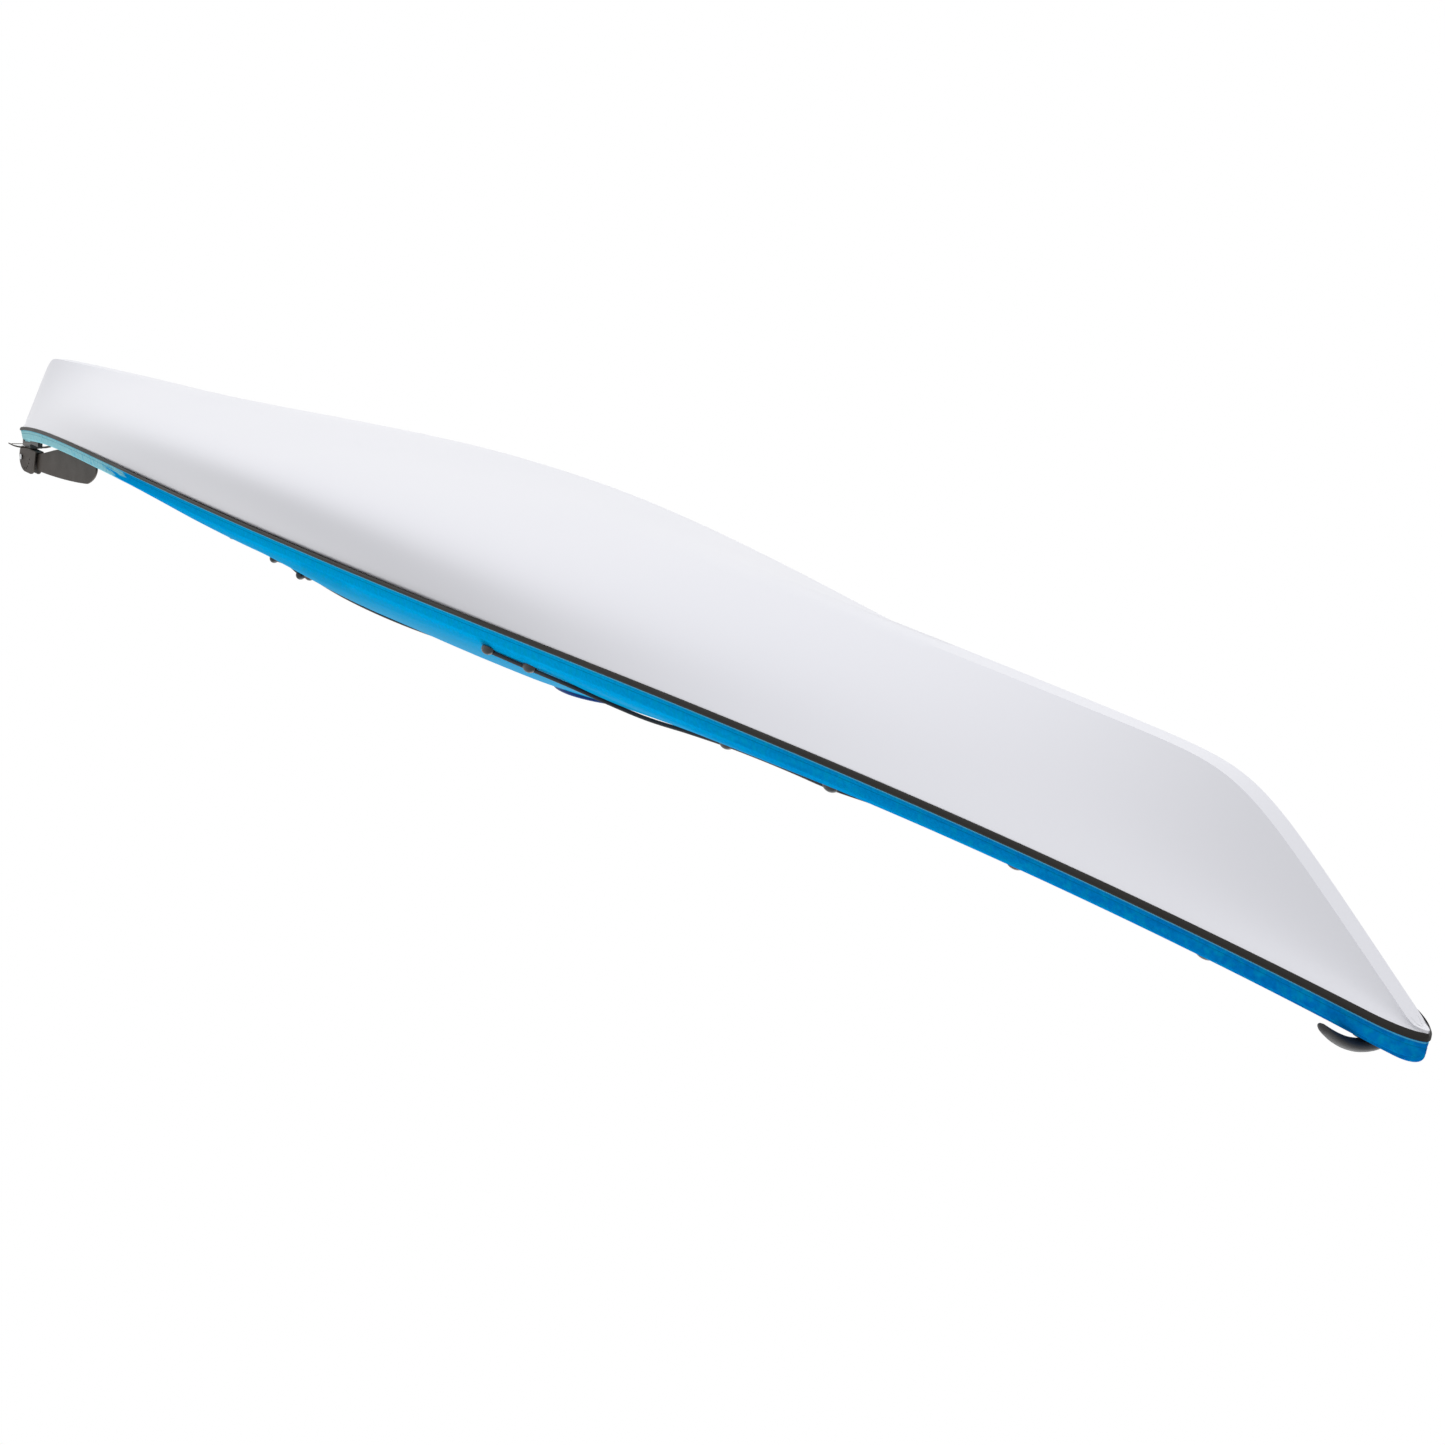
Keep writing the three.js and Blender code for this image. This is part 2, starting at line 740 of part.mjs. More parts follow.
function seamLoop() {
  const sides = outerPlaces.map((x) => new THREE.Vector2(x, seamHalfWidth(x)));
  const starboard = sides.map((point) => new THREE.Vector2(point.x, -point.y)).reverse();
  const stern = new THREE.Vector2(-halfLength, 0);
  const bow = new THREE.Vector2(halfLength, 0);
  return [stern, ...sides, bow, ...starboard];
}

// How far the hull stands out, at the lower edge of the strip, from its own seam edge
function hullBulge(x) {
  const half = hullSection(x, 0, sectionSteps);
  const below = half[half.length - 2];
  const drop = Math.max(seamHeight(x) - seamClearance - below.y, seamStripHeight);
  const lean = THREE.MathUtils.clamp((below.x - seamHalfWidth(x)) / drop, -1 / 2, 3 / 4);
  return lean * (seamStripHeight / 2 - seamClearance);
}

function makeSeamStrip() {
  const loop = seamLoop();
  const half = seamStripHeight / 2;
  const web = seamWebThick / 2;
  const rings = loop.map((point, index) => {
    const before = loop[(index + loop.length - 1) % loop.length];
    const after = loop[(index + 1) % loop.length];
    const first = new THREE.Vector2(before.y - point.y, point.x - before.x).normalize();
    const second = new THREE.Vector2(point.y - after.y, after.x - point.x).normalize();
    const outward = first.clone().add(second).divideScalar(1 + first.dot(second));
    const bulge = hullBulge(point.x);
    const depth = Math.min(seamWebDepth, seamHalfWidth(point.x) / 2 + seamStripThick / 2);
    const lower = fitGap + 2 * seamEase + bulge;
    const upper = fitGap + seamEase;
    const section = [
      [-depth, -web], [fitGap, -web], [lower, -half], [lower + seamStripThick, -half],
      [upper + seamStripThick, half], [upper, half], [fitGap, web], [-depth, web],
    ];
    return section.map(([reach, rise]) => {
      const x = point.x + outward.x * reach;
      return new THREE.Vector3(x, point.y + outward.y * reach, seamHeight(x) + rise);
    });
  });
  return loft(rings, true);
}

addPiece('seam_strip', makeSeamStrip(), 'seamBlack');

// Coaming: an upright collar in the deck opening with a lip that turns outwards

function makeCoaming() {
  const profile = [
    [0, -collarDepth], [collarWall, -collarDepth], [collarWall, coamingRise], [coamingLip, coamingRise],
    [coamingLip, coamingRise + coamingLipThick], [0, coamingRise + coamingLipThick],
  ];
  const rings = [];
  for (let index = 0; index < cockpitSides; index += 1) {
    const angle = cockpitAngle(index);
    rings.push(profile.map(([reach, rise]) => {
      const point = cockpitPoint(angle, reach);
      return new THREE.Vector3(point.x, point.y, coamingHeight(angle) + rise);
    }));
  }
  return loft(rings, true);
}

addPiece('cockpit_coaming', makeCoaming(), 'blackPlastic');

// Hatch rim, seal and cover

function addHatch(name, hatch, finish, hasPod) {
  const frame = new THREE.Group();
  frame.applyMatrix4(hatchMatrix(hatch));
  part.add(frame);
  const rimTop = fitGap + rimFlange;
  const rim = ellipseHoop(hatch, [
    [-fitGap - rimCollar, -rimCollarDepth], [-fitGap, -rimCollarDepth], [-fitGap, fitGap],
    [hatchLedge, fitGap], [hatchLedge, rimTop], [-fitGap - rimCollar, rimTop],
  ]);
  addPiece(`${name}_rim`, rim, 'blackPlastic', frame);
  const sealLow = rimTop + fitGap;
  const sealTop = sealLow + sealHeight;
  const skirtInside = hatchLedge - 3 - coverWall;
  const sealOutside = skirtInside - fitGap;
  addPiece(`${name}_seal`, ellipseHoop(hatch, [
    [sealOutside - sealWidth, sealLow], [sealOutside, sealLow], [sealOutside, sealTop],
    [sealOutside - sealWidth, sealTop],
  ]), 'blackRubber', frame);
  const topZ = sealLow + coverHeight;
  const outer = ellipseStack(hatch, [
    [skirtInside + coverWall, sealLow],
    [skirtInside + coverWall, sealLow + coverHeight * 0.5],
    [skirtInside, sealLow + coverHeight * 0.72],
    [-hatch.halfWidth * 0.9, topZ],
  ]);
  const underside = ellipseStack(hatch, [[skirtInside, sealLow - overrun], [skirtInside, sealTop + fitGap]]);
  addPiece(`${name}_cover`, cut(outer, underside), finish, frame);
  if (!hasPod) return;
  const podReach = -fitGap - rimCollar - fitGap;
  const pod = cut(
    ellipseStack(hatch, [[podReach - 14, -podDepth], [podReach, -podDepth * 0.6], [podReach, fitGap]]),
    ellipseStack(hatch, [
      [podReach - 14 - rimCollar, -podDepth + rimCollar],
      [podReach - rimCollar, -podDepth * 0.6],
      [podReach - rimCollar, overrun],
    ]),
  );
  addPiece('day_pod_tub', pod, 'blackPlastic', frame);
}

addHatch('rear_hatch', rearHatch, 'coverNavy', false);
addHatch('day_hatch', dayHatch, 'coverNavy', true);
addHatch('front_hatch', frontHatch, 'coverNavy', false);

// Bulkheads fill the section inside both shells, between the two stations that they stand at

function innerRing(x) {
  const after = innerPlaces.findIndex((place) => place > x);
  const [near, far] = [innerPlaces[after - 1], innerPlaces[after]].map((place) => [
    ...hullSection(place, shellWall + bulkheadGap, hollowSteps),
    ...deckSection(place, shellWall + bulkheadGap, 0).slice(1),
  ]);
  const share = (x - innerPlaces[after - 1]) / (innerPlaces[after] - innerPlaces[after - 1]);
  return ringOf(x, near.map((point, index) => point.clone().lerp(far[index], share)));
}

function makeBulkhead(x) {
  const plate = loft([innerRing(x - bulkheadThick / 2), innerRing(x + bulkheadThick / 2)]);
  return cut(plate, tubePassage, tubePassageStarboard);
}

addPiece('rear_bulkhead', makeBulkhead(rearBulkheadX), 'innerGrey');
addPiece('front_bulkhead', makeBulkhead(frontBulkheadX), 'innerGrey');

// Seat pan: a dished panel on two skids, with ears for the backrest at its rear edge

const seatAft = seatX - seatLength / 2;

function panTop(alongShare, acrossShare) {
  const side = seatSideRise * Math.abs(acrossShare) ** 4;
  const rear = seatRearRise * Math.max(1 - alongShare * 4, 0) ** 2;
  const front = seatFrontRise * Math.max(alongShare * 2 - 1, 0) ** 2;
  return shellWall + seatBase + side + rear + front;
}

const panWidthAt = (alongShare) => seatHalfWidth * (1 - 0.12 * alongShare ** 2);

function panPanel(raise, thick, narrow) {
  const along = 8;
  const across = 10;
  const rings = [];
  for (let step = 0; step <= along; step += 1) {
    const alongShare = step / along;
    const x = seatAft + seatLength * alongShare;
    const upper = [];
    const lower = [];
    for (let index = 0; index <= across; index += 1) {
      const share = (2 * index) / across - 1;
      const z = panTop(alongShare, share) + raise;
      upper.push(new THREE.Vector3(x, share * panWidthAt(alongShare), z));
      lower.push(new THREE.Vector3(x, share * (panWidthAt(alongShare) - narrow), z - thick));
    }
    rings.push([...upper, ...lower.reverse()]);
  }
  return loft(rings);
}

const seatHingeX = seatAft + 3 * backrestPinRadius;
const seatHingeZ = shellWall + seatBase + backrestHingeRise;
const skidShares = [0.06, 0.125, 0.25, 0.5, 0.625, 0.75, 0.875, 0.95];
const earShares = [-2.5, 2.5].map((radii) => (seatHingeX + radii * backrestPinRadius - seatAft) / seatLength);

// Height of the hull's inner face, straight between the stations that it is built on
function hollowFloor(x, y) {
  const next = innerPlaces.findIndex((place) => place > x);
  const [aft, fore] = innerPlaces.slice(next - 1, next + 1);
  const [aftZ, foreZ] = [aft, fore].map((place) => {
    const half = hullSection(place, shellWall + fitGap, hollowSteps);
    const upper = half.findIndex((point) => point.x > Math.abs(y));
    const [low, high] = half.slice(upper - 1, upper + 1);
    return low.y + ((high.y - low.y) * (Math.abs(y) - low.x)) / (high.x - low.x);
  });
  return aftZ + ((foreZ - aftZ) * (x - aft)) / (fore - aft);
}

const panMiddle = (share, y) => panTop(share, y / panWidthAt(share)) - seatThick / 2;

// A rib of the pan: upright sides between a lower and an upper line
function panRib(middleY, width, shares, lowAt, highAt) {
  return loft(shares.map((share) => {
    const x = seatAft + seatLength * share;
    const edges = [middleY - width / 2, middleY + width / 2];
    const low = edges.map((y) => new THREE.Vector3(x, y, lowAt(share, y)));
    const high = edges.map((y) => new THREE.Vector3(x, y, highAt(share, y)));
    return [...low, ...high.reverse()];
  }));
}

function makeSeatPan() {
  const floorAt = (share, y) => hollowFloor(seatAft + seatLength * share, y) + fitGap;
  const earTop = seatHingeZ + 2.5 * backrestPinRadius;
  const skids = [-1, 1].map((side) => panRib((side * skidSpacing) / 2, skidWidth, skidShares, floorAt,
    panMiddle));
  const ears = [-1, 1].map((side) => panRib((side * earSpacing) / 2, earThick, earShares, panMiddle,
    () => earTop));
  const pinHole = rod(backrestPinRadius + fitGap, earSpacing + 4 * earThick, 12, 'y', seatHingeX, 0,
    seatHingeZ);
  return cut(unite(panPanel(0, seatThick, seatThick), ...skids, ...ears), pinHole);
}

addPiece('seat_pan', makeSeatPan(), 'blackPlastic');

// Seat cushion: crowned, with sides that draw in between its corners

function makeSeatCushion() {
  const rows = 8;
  const columns = 12;
  const cushionAft = seatAft + seatLength * 0.13;
  const outline = (alongShare, acrossShare) => {
    const drawnIn = 1 - 0.05 * (1 - (2 * alongShare - 1) ** 2) - 0.1 * alongShare ** 4;
    return acrossShare * cushionHalfWidth * drawnIn * Math.min(1, 0.86 + alongShare);
  };
  const rings = [];
  for (let row = 0; row <= rows; row += 1) {
    const alongShare = row / rows;
    const x = cushionAft + cushionLength * alongShare;
    const panShare = (x - seatAft) / seatLength;
    const endRound = 1 - (2 * alongShare - 1) ** 6;
    const upper = [];
    const lower = [];
    for (let column = 0; column <= columns; column += 1) {
      const share = (2 * column) / columns - 1;
      const y = outline(alongShare, share);
      const bottom = panTop(panShare, y / panWidthAt(panShare)) - seatThick;
      const edgeRound = 1 - share ** 6;
      const plump = seatThick + cushionThick * (0.35 + 0.65 * Math.min(edgeRound, endRound));
      const crown = cushionCrown * (1 - share ** 2) * (1 - (2 * alongShare - 1) ** 2);
      upper.push(new THREE.Vector3(x, y, bottom + plump + crown));
      lower.push(new THREE.Vector3(x, y, bottom));
    }
    rings.push([...upper, ...lower.reverse()]);
  }
  return loft(rings).subtract(panPanel(fitGap, seatBase, 0));
}

addPiece('seat_cushion', makeSeatCushion(), 'foamGrey');

// Backrest: a curved shell on a cross pin, with a pad in front

function backrestRings(front, thick, low, high, halfWidth, swell) {
  const rings = [];
  const columns = 10;
  const rows = 6;
  for (let column = 0; column <= columns; column += 1) {
    const share = (2 * column) / columns - 1;
    const ends = 1 - share ** 6;
    const forward = [];
    const rear = [];
    for (let row = 0; row <= rows; row += 1) {
      const heightShare = row / rows;
      const rounding = (high - low) * 0.22 * share ** 4;
      const z = low + rounding + (high - low - 2 * rounding) * heightShare;
      const x = seatHingeX + front + backrestCurve * share ** 2;
      const edge = 1 - (2 * heightShare - 1) ** 6;
      const plump = thick + swell * Math.min(ends, edge);
      forward.push(new THREE.Vector3(x + plump, share * halfWidth, z));
      rear.push(new THREE.Vector3(x, share * halfWidth, z));
    }
    rings.push([...forward, ...rear.reverse()]);
  }
  return loft(rings);
}

const backrestLow = seatHingeZ + 3 * backrestPinRadius;

function makeBackrestShell() {
  const shell = backrestRings(backrestPinRadius, backrestThick, backrestLow, backrestLow + backrestHeight,
    backrestHalfWidth, 0);
  const knuckle = rod(2 * backrestPinRadius, earSpacing - earThick - 4 * fitGap, 12, 'y', seatHingeX, 0,
    seatHingeZ);
  const web = block(backrestThick, earSpacing / 2, backrestLow - seatHingeZ + backrestHeight * 0.2,
    seatHingeX + backrestPinRadius + backrestThick / 2, 0,
    seatHingeZ + (backrestLow - seatHingeZ + backrestHeight * 0.2) / 2);
  const pinHole = rod(backrestPinRadius + fitGap, earSpacing * 2, 12, 'y', seatHingeX, 0, seatHingeZ);
  return cut(unite(shell, web, knuckle), pinHole);
}

addPiece('backrest_shell', makeBackrestShell(), 'blackPlastic');
addPiece('backrest_pad', backrestRings(backrestPinRadius + backrestThick + 2 * fitGap, backPadThick * 0.45,
  backrestLow, backrestLow + backrestHeight, backrestHalfWidth, backPadThick * 0.55), 'foamGrey');
addPiece('backrest_pin', rod(backrestPinRadius, earSpacing + 2 * earThick, 12, 'y', seatHingeX, 0,
  seatHingeZ), 'steel');

// Thigh braces hook under the coaming and follow its outline

function makeThighBrace(side) {
  const tabOut = -fitGap;
  const tabIn = tabOut - braceThick;
  const profile = [
    [tabOut, coamingRise / 2], [tabOut, -collarDepth - 6], [-braceReach / 2, -braceDrop * 0.55 - braceThick],
    [-braceReach, -braceDrop], [-braceReach, -braceDrop + braceThick], [-braceReach / 2, -braceDrop * 0.55],
    [tabIn, -collarDepth], [tabIn, coamingRise / 2],
  ];
  const rings = [];
  for (let step = braceFirst; step <= braceLast; step += 1) {
    const angle = side * cockpitAngle(step);
    rings.push(profile.map(([reach, rise]) => {
      const point = cockpitPoint(angle, reach);
      return new THREE.Vector3(point.x, point.y, coamingHeight(angle) + rise);
    }));
  }
  return loft(rings);
}

addPiece('thigh_brace_port', makeThighBrace(1), 'blackPlastic');
addPiece('thigh_brace_starboard', makeThighBrace(-1), 'blackPlastic');

// Foot rail, pedal and the cable between the pedal and its tube

function railHolder(side) {
  const { centre, turn } = railFrame(side);
  const holder = new THREE.Group();
  holder.position.copy(centre);
  holder.rotation.z = turn;
  part.add(holder);
  return holder;
}

function makeRail(side, matrix) {
  const inner = -side;
  const channel = block(railLength, railDepth, railHeight, 0, 0, 0);
  const slotHeight = railHeight - 2 * railWall;
  const groove = block(railLength + overrun, railDepth, slotHeight, 0, inner * railWall, 0);
  const lips = [-1, 1].map((level) => block(railLength, railWall, railWall * 2, 0,
    inner * (railDepth / 2 - railWall / 2), level * (slotHeight / 2 - railWall)));
  const footDepth = 4 * railStandOff;
  const feet = [-1, 1].map((end) => {
    const foot = block(railHeight, footDepth, railHeight, end * (railLength / 2 - railHeight), side * (
      railDepth + footDepth - railWall) / 2, 0);
    return placed(placed(foot, matrix).intersect(inside), matrix.clone().invert());
  });
  return unite(channel.subtract(groove), ...lips, ...feet);
}

function makePedal(side) {
  const inner = -side;
  const slotHeight = railHeight - 2 * railWall;
  const runner = block(carriageLength, railDepth - 2 * railWall - 2 * fitGap, slotHeight - 2 * fitGap, 0, 0, 0);
  const neckHeight = slotHeight - 4 * railWall - 2 * fitGap;
  const neckReach = railDepth / 2 + pedalStandOff + 2;
  const neck = block(carriageLength * 0.7, neckReach, neckHeight, 0, inner * (neckReach / 2 + fitGap), 0);
  const sole = new THREE.Shape();
  const plateX = carriageLength * 0.35;
  sole.moveTo(-plateX, -pedalHeight * 0.2);
  sole.lineTo(-plateX + pedalThick, -pedalHeight * 0.2);
  sole.lineTo(plateX * 0.4 + pedalThick, pedalHeight * 0.62);
  sole.quadraticCurveTo(plateX * 0.4 + pedalThick * 0.6, pedalHeight * 0.7, plateX * 0.4, pedalHeight * 0.66);
  sole.quadraticCurveTo(-plateX * 0.6, pedalHeight * 0.3, -plateX, -pedalHeight * 0.2);
  const plateInside = railDepth / 2 + pedalStandOff;
  const plate = uprightPlate(sole, pedalReach, inner * (plateInside + pedalReach / 2));
  return unite(runner, neck, plate);
}

function alongRod(from, to, radius, sides) {
  return sweep([from, from.clone().lerp(to, 1 / 3), from.clone().lerp(to, 2 / 3), to], radius, sides, 1);
}

function addFootControl(name, side) {
  const holder = railHolder(side);
  holder.updateMatrix();
  addPiece(`foot_rail_${name}`, makeRail(side, holder.matrix), 'greyAluminium', holder);
  addPiece(`foot_pedal_${name}`, makePedal(side), 'blackPlastic', holder);
  const start = new THREE.Vector3(-carriageLength / 2 - fitGap, 0, 0);
  const end = new THREE.Vector3(-carriageLength / 2 - pedalCableReach - cableTravel - 8, 0, 0);
  addPiece(`pedal_cable_${name}`, alongRod(start, end, cableRadius, 6), 'steel', holder);
}

addFootControl('port', 1);
addFootControl('starboard', -1);

// Rudder line tubes with their guides on the stern deck, and the wires from the yoke

function makeCableTube(side) {
  const flip = (point) => new THREE.Vector3(point.x, side * point.y, point.z);
  const { from, to, along } = cableLine();
  const guideEnd = to.clone().addScaledVector(along, guideLength);
  const middle = to.clone().lerp(guideEnd, 1 / 2);
  const width = 4 * tubeRadius;
  const guide = block(guideLength, width, 4 * tubeRadius, middle.x, side * middle.y, middle.z - tubeRadius * 0.7);
  const tube = sweep(tubePoints.map(flip), tubeRadius, tubeSides, tubeSteps);
  const rearBore = alongRod(flip(from), flip(guideEnd.clone().addScaledVector(along, -2)), cableBore, 8);
  const mouth = tubePoints[tubePoints.length - 1];
  const beforeMouth = tubePoints[tubePoints.length - 2];
  const railAlong = mouth.clone().sub(beforeMouth).normalize();
  const boreEnd = mouth.clone().addScaledVector(railAlong, -tubeStraight + 6);
  const foreBore = alongRod(flip(boreEnd), flip(mouth.clone().addScaledVector(railAlong, overrun)), cableBore, 8);
  return cut(unite(cut(guide, deckCover), tube), rearBore, foreBore);
}

function makeRudderCable(side) {
  const flip = (point) => new THREE.Vector3(point.x, side * point.y, point.z);
  const { from, to, along } = cableLine();
  return alongRod(flip(from), flip(to.clone().addScaledVector(along, cableTravel + 4)), cableRadius, 6);
}

addPiece('cable_tube_port', makeCableTube(1), 'blackPlastic');
addPiece('cable_tube_starboard', makeCableTube(-1), 'blackPlastic');
addPiece('rudder_cable_port', makeRudderCable(1), 'steel');
addPiece('rudder_cable_starboard', makeRudderCable(-1), 'steel');

// Rudder mount: a block seated on the deck with the tube that takes the pintle

function makeRudderMount() {
  const bottomZ = bandTop(swivelX) - seatDepth / 2;
  const seat = block(mountLength, mountWidth, mountTopZ - bottomZ, swivelX + 4, 0, (mountTopZ + bottomZ) / 2);
  const tube = rod(pintleTubeRadius, pintleDepth, 16, 'z', swivelX, 0, mountTopZ - pintleDepth / 2);
  const bore = rod(pintleRadius + fitGap, pintleDepth + overrun, 16, 'z', swivelX, 0,
    mountTopZ - pintleDepth / 2);
  return cut(unite(cut(seat, deckCover), tube), bore);
}

addPiece('rudder_mount', makeRudderMount(), 'blackPlastic');

// Yoke: a hub on the pintle with two arms that droop to the cable eyes

const yokeLow = mountTopZ + fitGap;

function makeYoke() {
  const hub = rod(yokeHubRadius, yokeThick, 20, 'z', swivelX, 0, yokeLow + yokeThick / 2);
  const rings = [];
  const steps = 10;
  for (let step = 0; step <= steps; step += 1) {
    const share = (2 * step) / steps - 1;
    const halfX = 9 - 4 * Math.abs(share);
    const z = yokeLow - yokeDroop * share ** 4;
    const y = share * (yokeHalfSpan + 5);
    rings.push([
      new THREE.Vector3(swivelX - halfX, y, z), new THREE.Vector3(swivelX + halfX, y, z),
      new THREE.Vector3(swivelX + halfX, y, z + yokeThick), new THREE.Vector3(swivelX - halfX, y, z + yokeThick),
    ]);
  }
  const eyes = [-1, 1].map((side) => rod(2.2, 4 * yokeThick, 10, 'z', swivelX, side * yokeHalfSpan, yokeEyeZ));
  const pintle = rod(pintleRadius + fitGap, overrun, 16, 'z', swivelX, 0, yokeLow);
  return cut(unite(hub, loft(rings)), pintle, ...eyes);
}

addPiece('rudder_yoke', makeYoke(), 'greyAluminium');

// Head: a spacer block between two cheek plates, turning on the pintle

const spacerLow = yokeLow + yokeThick + fitGap;
const spacerTop = spacerLow + headBlockHeight;

function makeSpacer() {
  const aft = pivotX + bladeHubRadius + 8;
  const fore = pivotX + cheekLength - bladeHubRadius - 8;
  const body = block(fore - aft, 2 * headHalfWidth, headBlockHeight, (aft + fore) / 2, 0,
    (spacerLow + spacerTop) / 2);
  const pintle = rod(pintleRadius + fitGap, overrun, 16, 'z', swivelX, 0, spacerLow);
  return body.subtract(pintle);
}

addPiece('rudder_spacer', makeSpacer(), 'blackPlastic');
const pintleLow = mountTopZ - pintleDepth + 4;
addPiece('rudder_pintle', rod(pintleRadius, spacerTop - pintleLow, 16, 'z', swivelX, 0,
  (spacerTop + pintleLow) / 2), 'steel');

function makeCheek(side) {
  const low = spacerLow + fitGap;
  const high = low + cheekHeight - 2;
  const rear = bladeHubRadius + 4;
  const front = cheekLength - rear;
  const shape = new THREE.Shape();
  shape.moveTo(-rear * 0.2, low - pivotZ);
  shape.lineTo(front, low - pivotZ);
  shape.lineTo(front - cheekHeight * 0.16, high - cheekHeight * 0.22 - pivotZ);
  shape.quadraticCurveTo(front - cheekHeight * 0.3, high - pivotZ, front - cheekHeight * 0.62, high - pivotZ);
  shape.lineTo(rear * 1.1, high - pivotZ);
  shape.quadraticCurveTo(-rear * 0.7, high - pivotZ - 4, -rear, 0);
  shape.quadraticCurveTo(-rear, low - pivotZ + 4, -rear * 0.2, low - pivotZ);
  const plate = uprightPlate(shape, cheekThick, side * (headHalfWidth + fitGap + cheekThick / 2));
  const bores = [rod(boltRadius + fitGap, 8 * headHalfWidth, 14, 'y', 0, 0, 0)];
  for (let index = 0; index < cheekHoles; index += 1) {
    const angle = ((index + 1) / (cheekHoles + 1)) * Math.PI * 0.6;
    const reach = cheekHeight * 0.62;
    bores.push(rod(cheekHoleRadius, 8 * headHalfWidth, 8, 'y', cheekLength * 0.2 + reach * Math.cos(angle), 0,
      reach * Math.sin(angle) - cheekHeight * 0.22));
  }
  return placed(cut(plate, ...bores), new THREE.Matrix4().makeTranslation(pivotX, 0, pivotZ));
}

addPiece('cheek_plate_port', makeCheek(1), 'greyAluminium');
addPiece('cheek_plate_starboard', makeCheek(-1), 'greyAluminium');

// Blade, drawn stowed: it points to the bow, with its leading edge up

function bladeShape() {
  const neck = cheekLength - bladeHubRadius - 18;
  const shape = new THREE.Shape();
  const root = bladeHubRadius;
  const tip = bladeLength;
  shape.moveTo(0, -root * 0.98);
  shape.lineTo(root, -root * 1.1);
  shape.lineTo(neck * 1.1, -root * 1.15);
  shape.quadraticCurveTo(tip * 0.3, -root * 1.8, tip * 0.42, bladeTopRise - bladeChord * 0.78);
  shape.quadraticCurveTo(tip * 0.6, bladeTopRise - bladeChord * 1.02, tip * 0.86, bladeTopRise - bladeChord);
  shape.quadraticCurveTo(tip * 1.005, bladeTopRise - bladeChord, tip, bladeTopRise - bladeChord * 0.72);
  shape.quadraticCurveTo(tip * 0.985, -bladeTopRise * 0.95, tip * 0.88, -bladeTopRise * 0.1);
  shape.quadraticCurveTo(tip * 0.6, bladeTopRise * 0.72, neck * 1.25, bladeTopRise);
  shape.quadraticCurveTo(neck * 1.08, bladeTopRise, neck, bladeTopRise * 0.3);
  shape.lineTo(root, root * 0.33);
  shape.absarc(0, 0, root, 0.34, Math.PI * 1.5, false);
  return shape;
}

function makeBlade() {
  const sheet = uprightPlate(bladeShape(), bladeThick, 0);
  const hub = rod(bladeHubRadius, 2 * headHalfWidth, 20, 'y', 0, 0, 0);
  const boltHole = rod(boltRadius + fitGap, 8 * headHalfWidth, 14, 'y', 0, 0, 0);
  const whole = unite(sheet, hub).subtract(boltHole);
  return placed(whole, new THREE.Matrix4().makeTranslation(pivotX, 0, pivotZ));
}

addPiece('rudder_blade', makeBlade(), 'greyAluminium');

function makePivotBolt() {
  const reach = headHalfWidth + cheekThick + 2 * fitGap;
  const profile = [
    [0, -reach - boltHeadThick], [boltHeadRadius, -reach - boltHeadThick], [boltHeadRadius, -reach],
    [boltRadius, -reach], [boltRadius, reach], [boltHeadRadius, reach],
    [boltHeadRadius, reach + boltHeadThick], [0, reach + boltHeadThick],
  ].map(([radius, height]) => new THREE.Vector2(radius, height));
  return solidOf(new THREE.LatheGeometry(profile, 12).translate(pivotX, 0, pivotZ));
}

addPiece('blade_pivot_bolt', makePivotBolt(), 'steel');

// Pad on the deck under the stowed blade

function makeRudderRest() {
  const bladeLow = pivotZ + bladeTopRise - bladeChord * 1.02;
  const top = bladeLow - fitGap;
  const bottom = deckTop(restX, 0) - seatDepth;
  const pad = block(restLength, restWidth, top - bottom, restX, 0, (top + bottom) / 2);
  return pad.subtract(deckCover);
}

addPiece('rudder_rest', makeRudderRest(), 'blackRubber');

// Carry handles: a drooping cross grip on a post that lifts out of its deck socket

function makeHandle(x) {
  const gripZ = deckTop(x, 0) + handleRise;
  const reach = Math.min(handleHalfSpan, seamHalfWidth(x));
  const room = gripZ - gripHalfThick - deckTop(x, reach) - 2;
  const droop = reach < handleHalfSpan ? handleDroop : Math.min(handleDroop, room);
  const rings = [];
  const steps = 12;
  const sides = 10;
  for (let step = 0; step <= steps; step += 1) {
    const share = (2 * step) / steps - 1;
    const slim = 1 - 0.45 * Math.abs(share) ** 5;
    const centre = new THREE.Vector3(x - handleSweep * share ** 2, handleHalfSpan * share,
      gripZ - droop * Math.abs(share) ** 2.2);
    const ring = [];
    for (let side = 0; side < sides; side += 1) {
      const angle = (side / sides) * 2 * Math.PI;
      ring.push(centre.clone().add(new THREE.Vector3(gripHalfWidth * slim * Math.cos(angle), 0,
        gripHalfThick * slim * Math.sin(angle))));
    }
    rings.push(ring);
  }
  const postTop = gripZ;
  const postBottom = gripZ - gripHalfThick - handlePostDepth;
  const post = rod(handlePostRadius, postTop - postBottom, 12, 'z', x, 0, (postTop + postBottom) / 2);
  return unite(loft(rings), post);
}

function makeHandleBase(x) {
  const top = deckTop(x, 0) + handleBaseRise - fitGap;
  const rings = [top - seatDepth, top].map((z, level) => {
    const ring = [];
    const sides = 20;
    for (let side = 0; side < sides; side += 1) {
      const angle = (side / sides) * 2 * Math.PI;
      const trim = level === 1 ? 2 : 0;
      ring.push(new THREE.Vector3(x + (handleBaseLength / 2 - trim) * Math.cos(angle),
        (handleBaseWidth / 2 - trim) * Math.sin(angle), z));
    }
    return ring;
  });
  return cut(loft(rings), deckCover, handlePostHole(x));
}

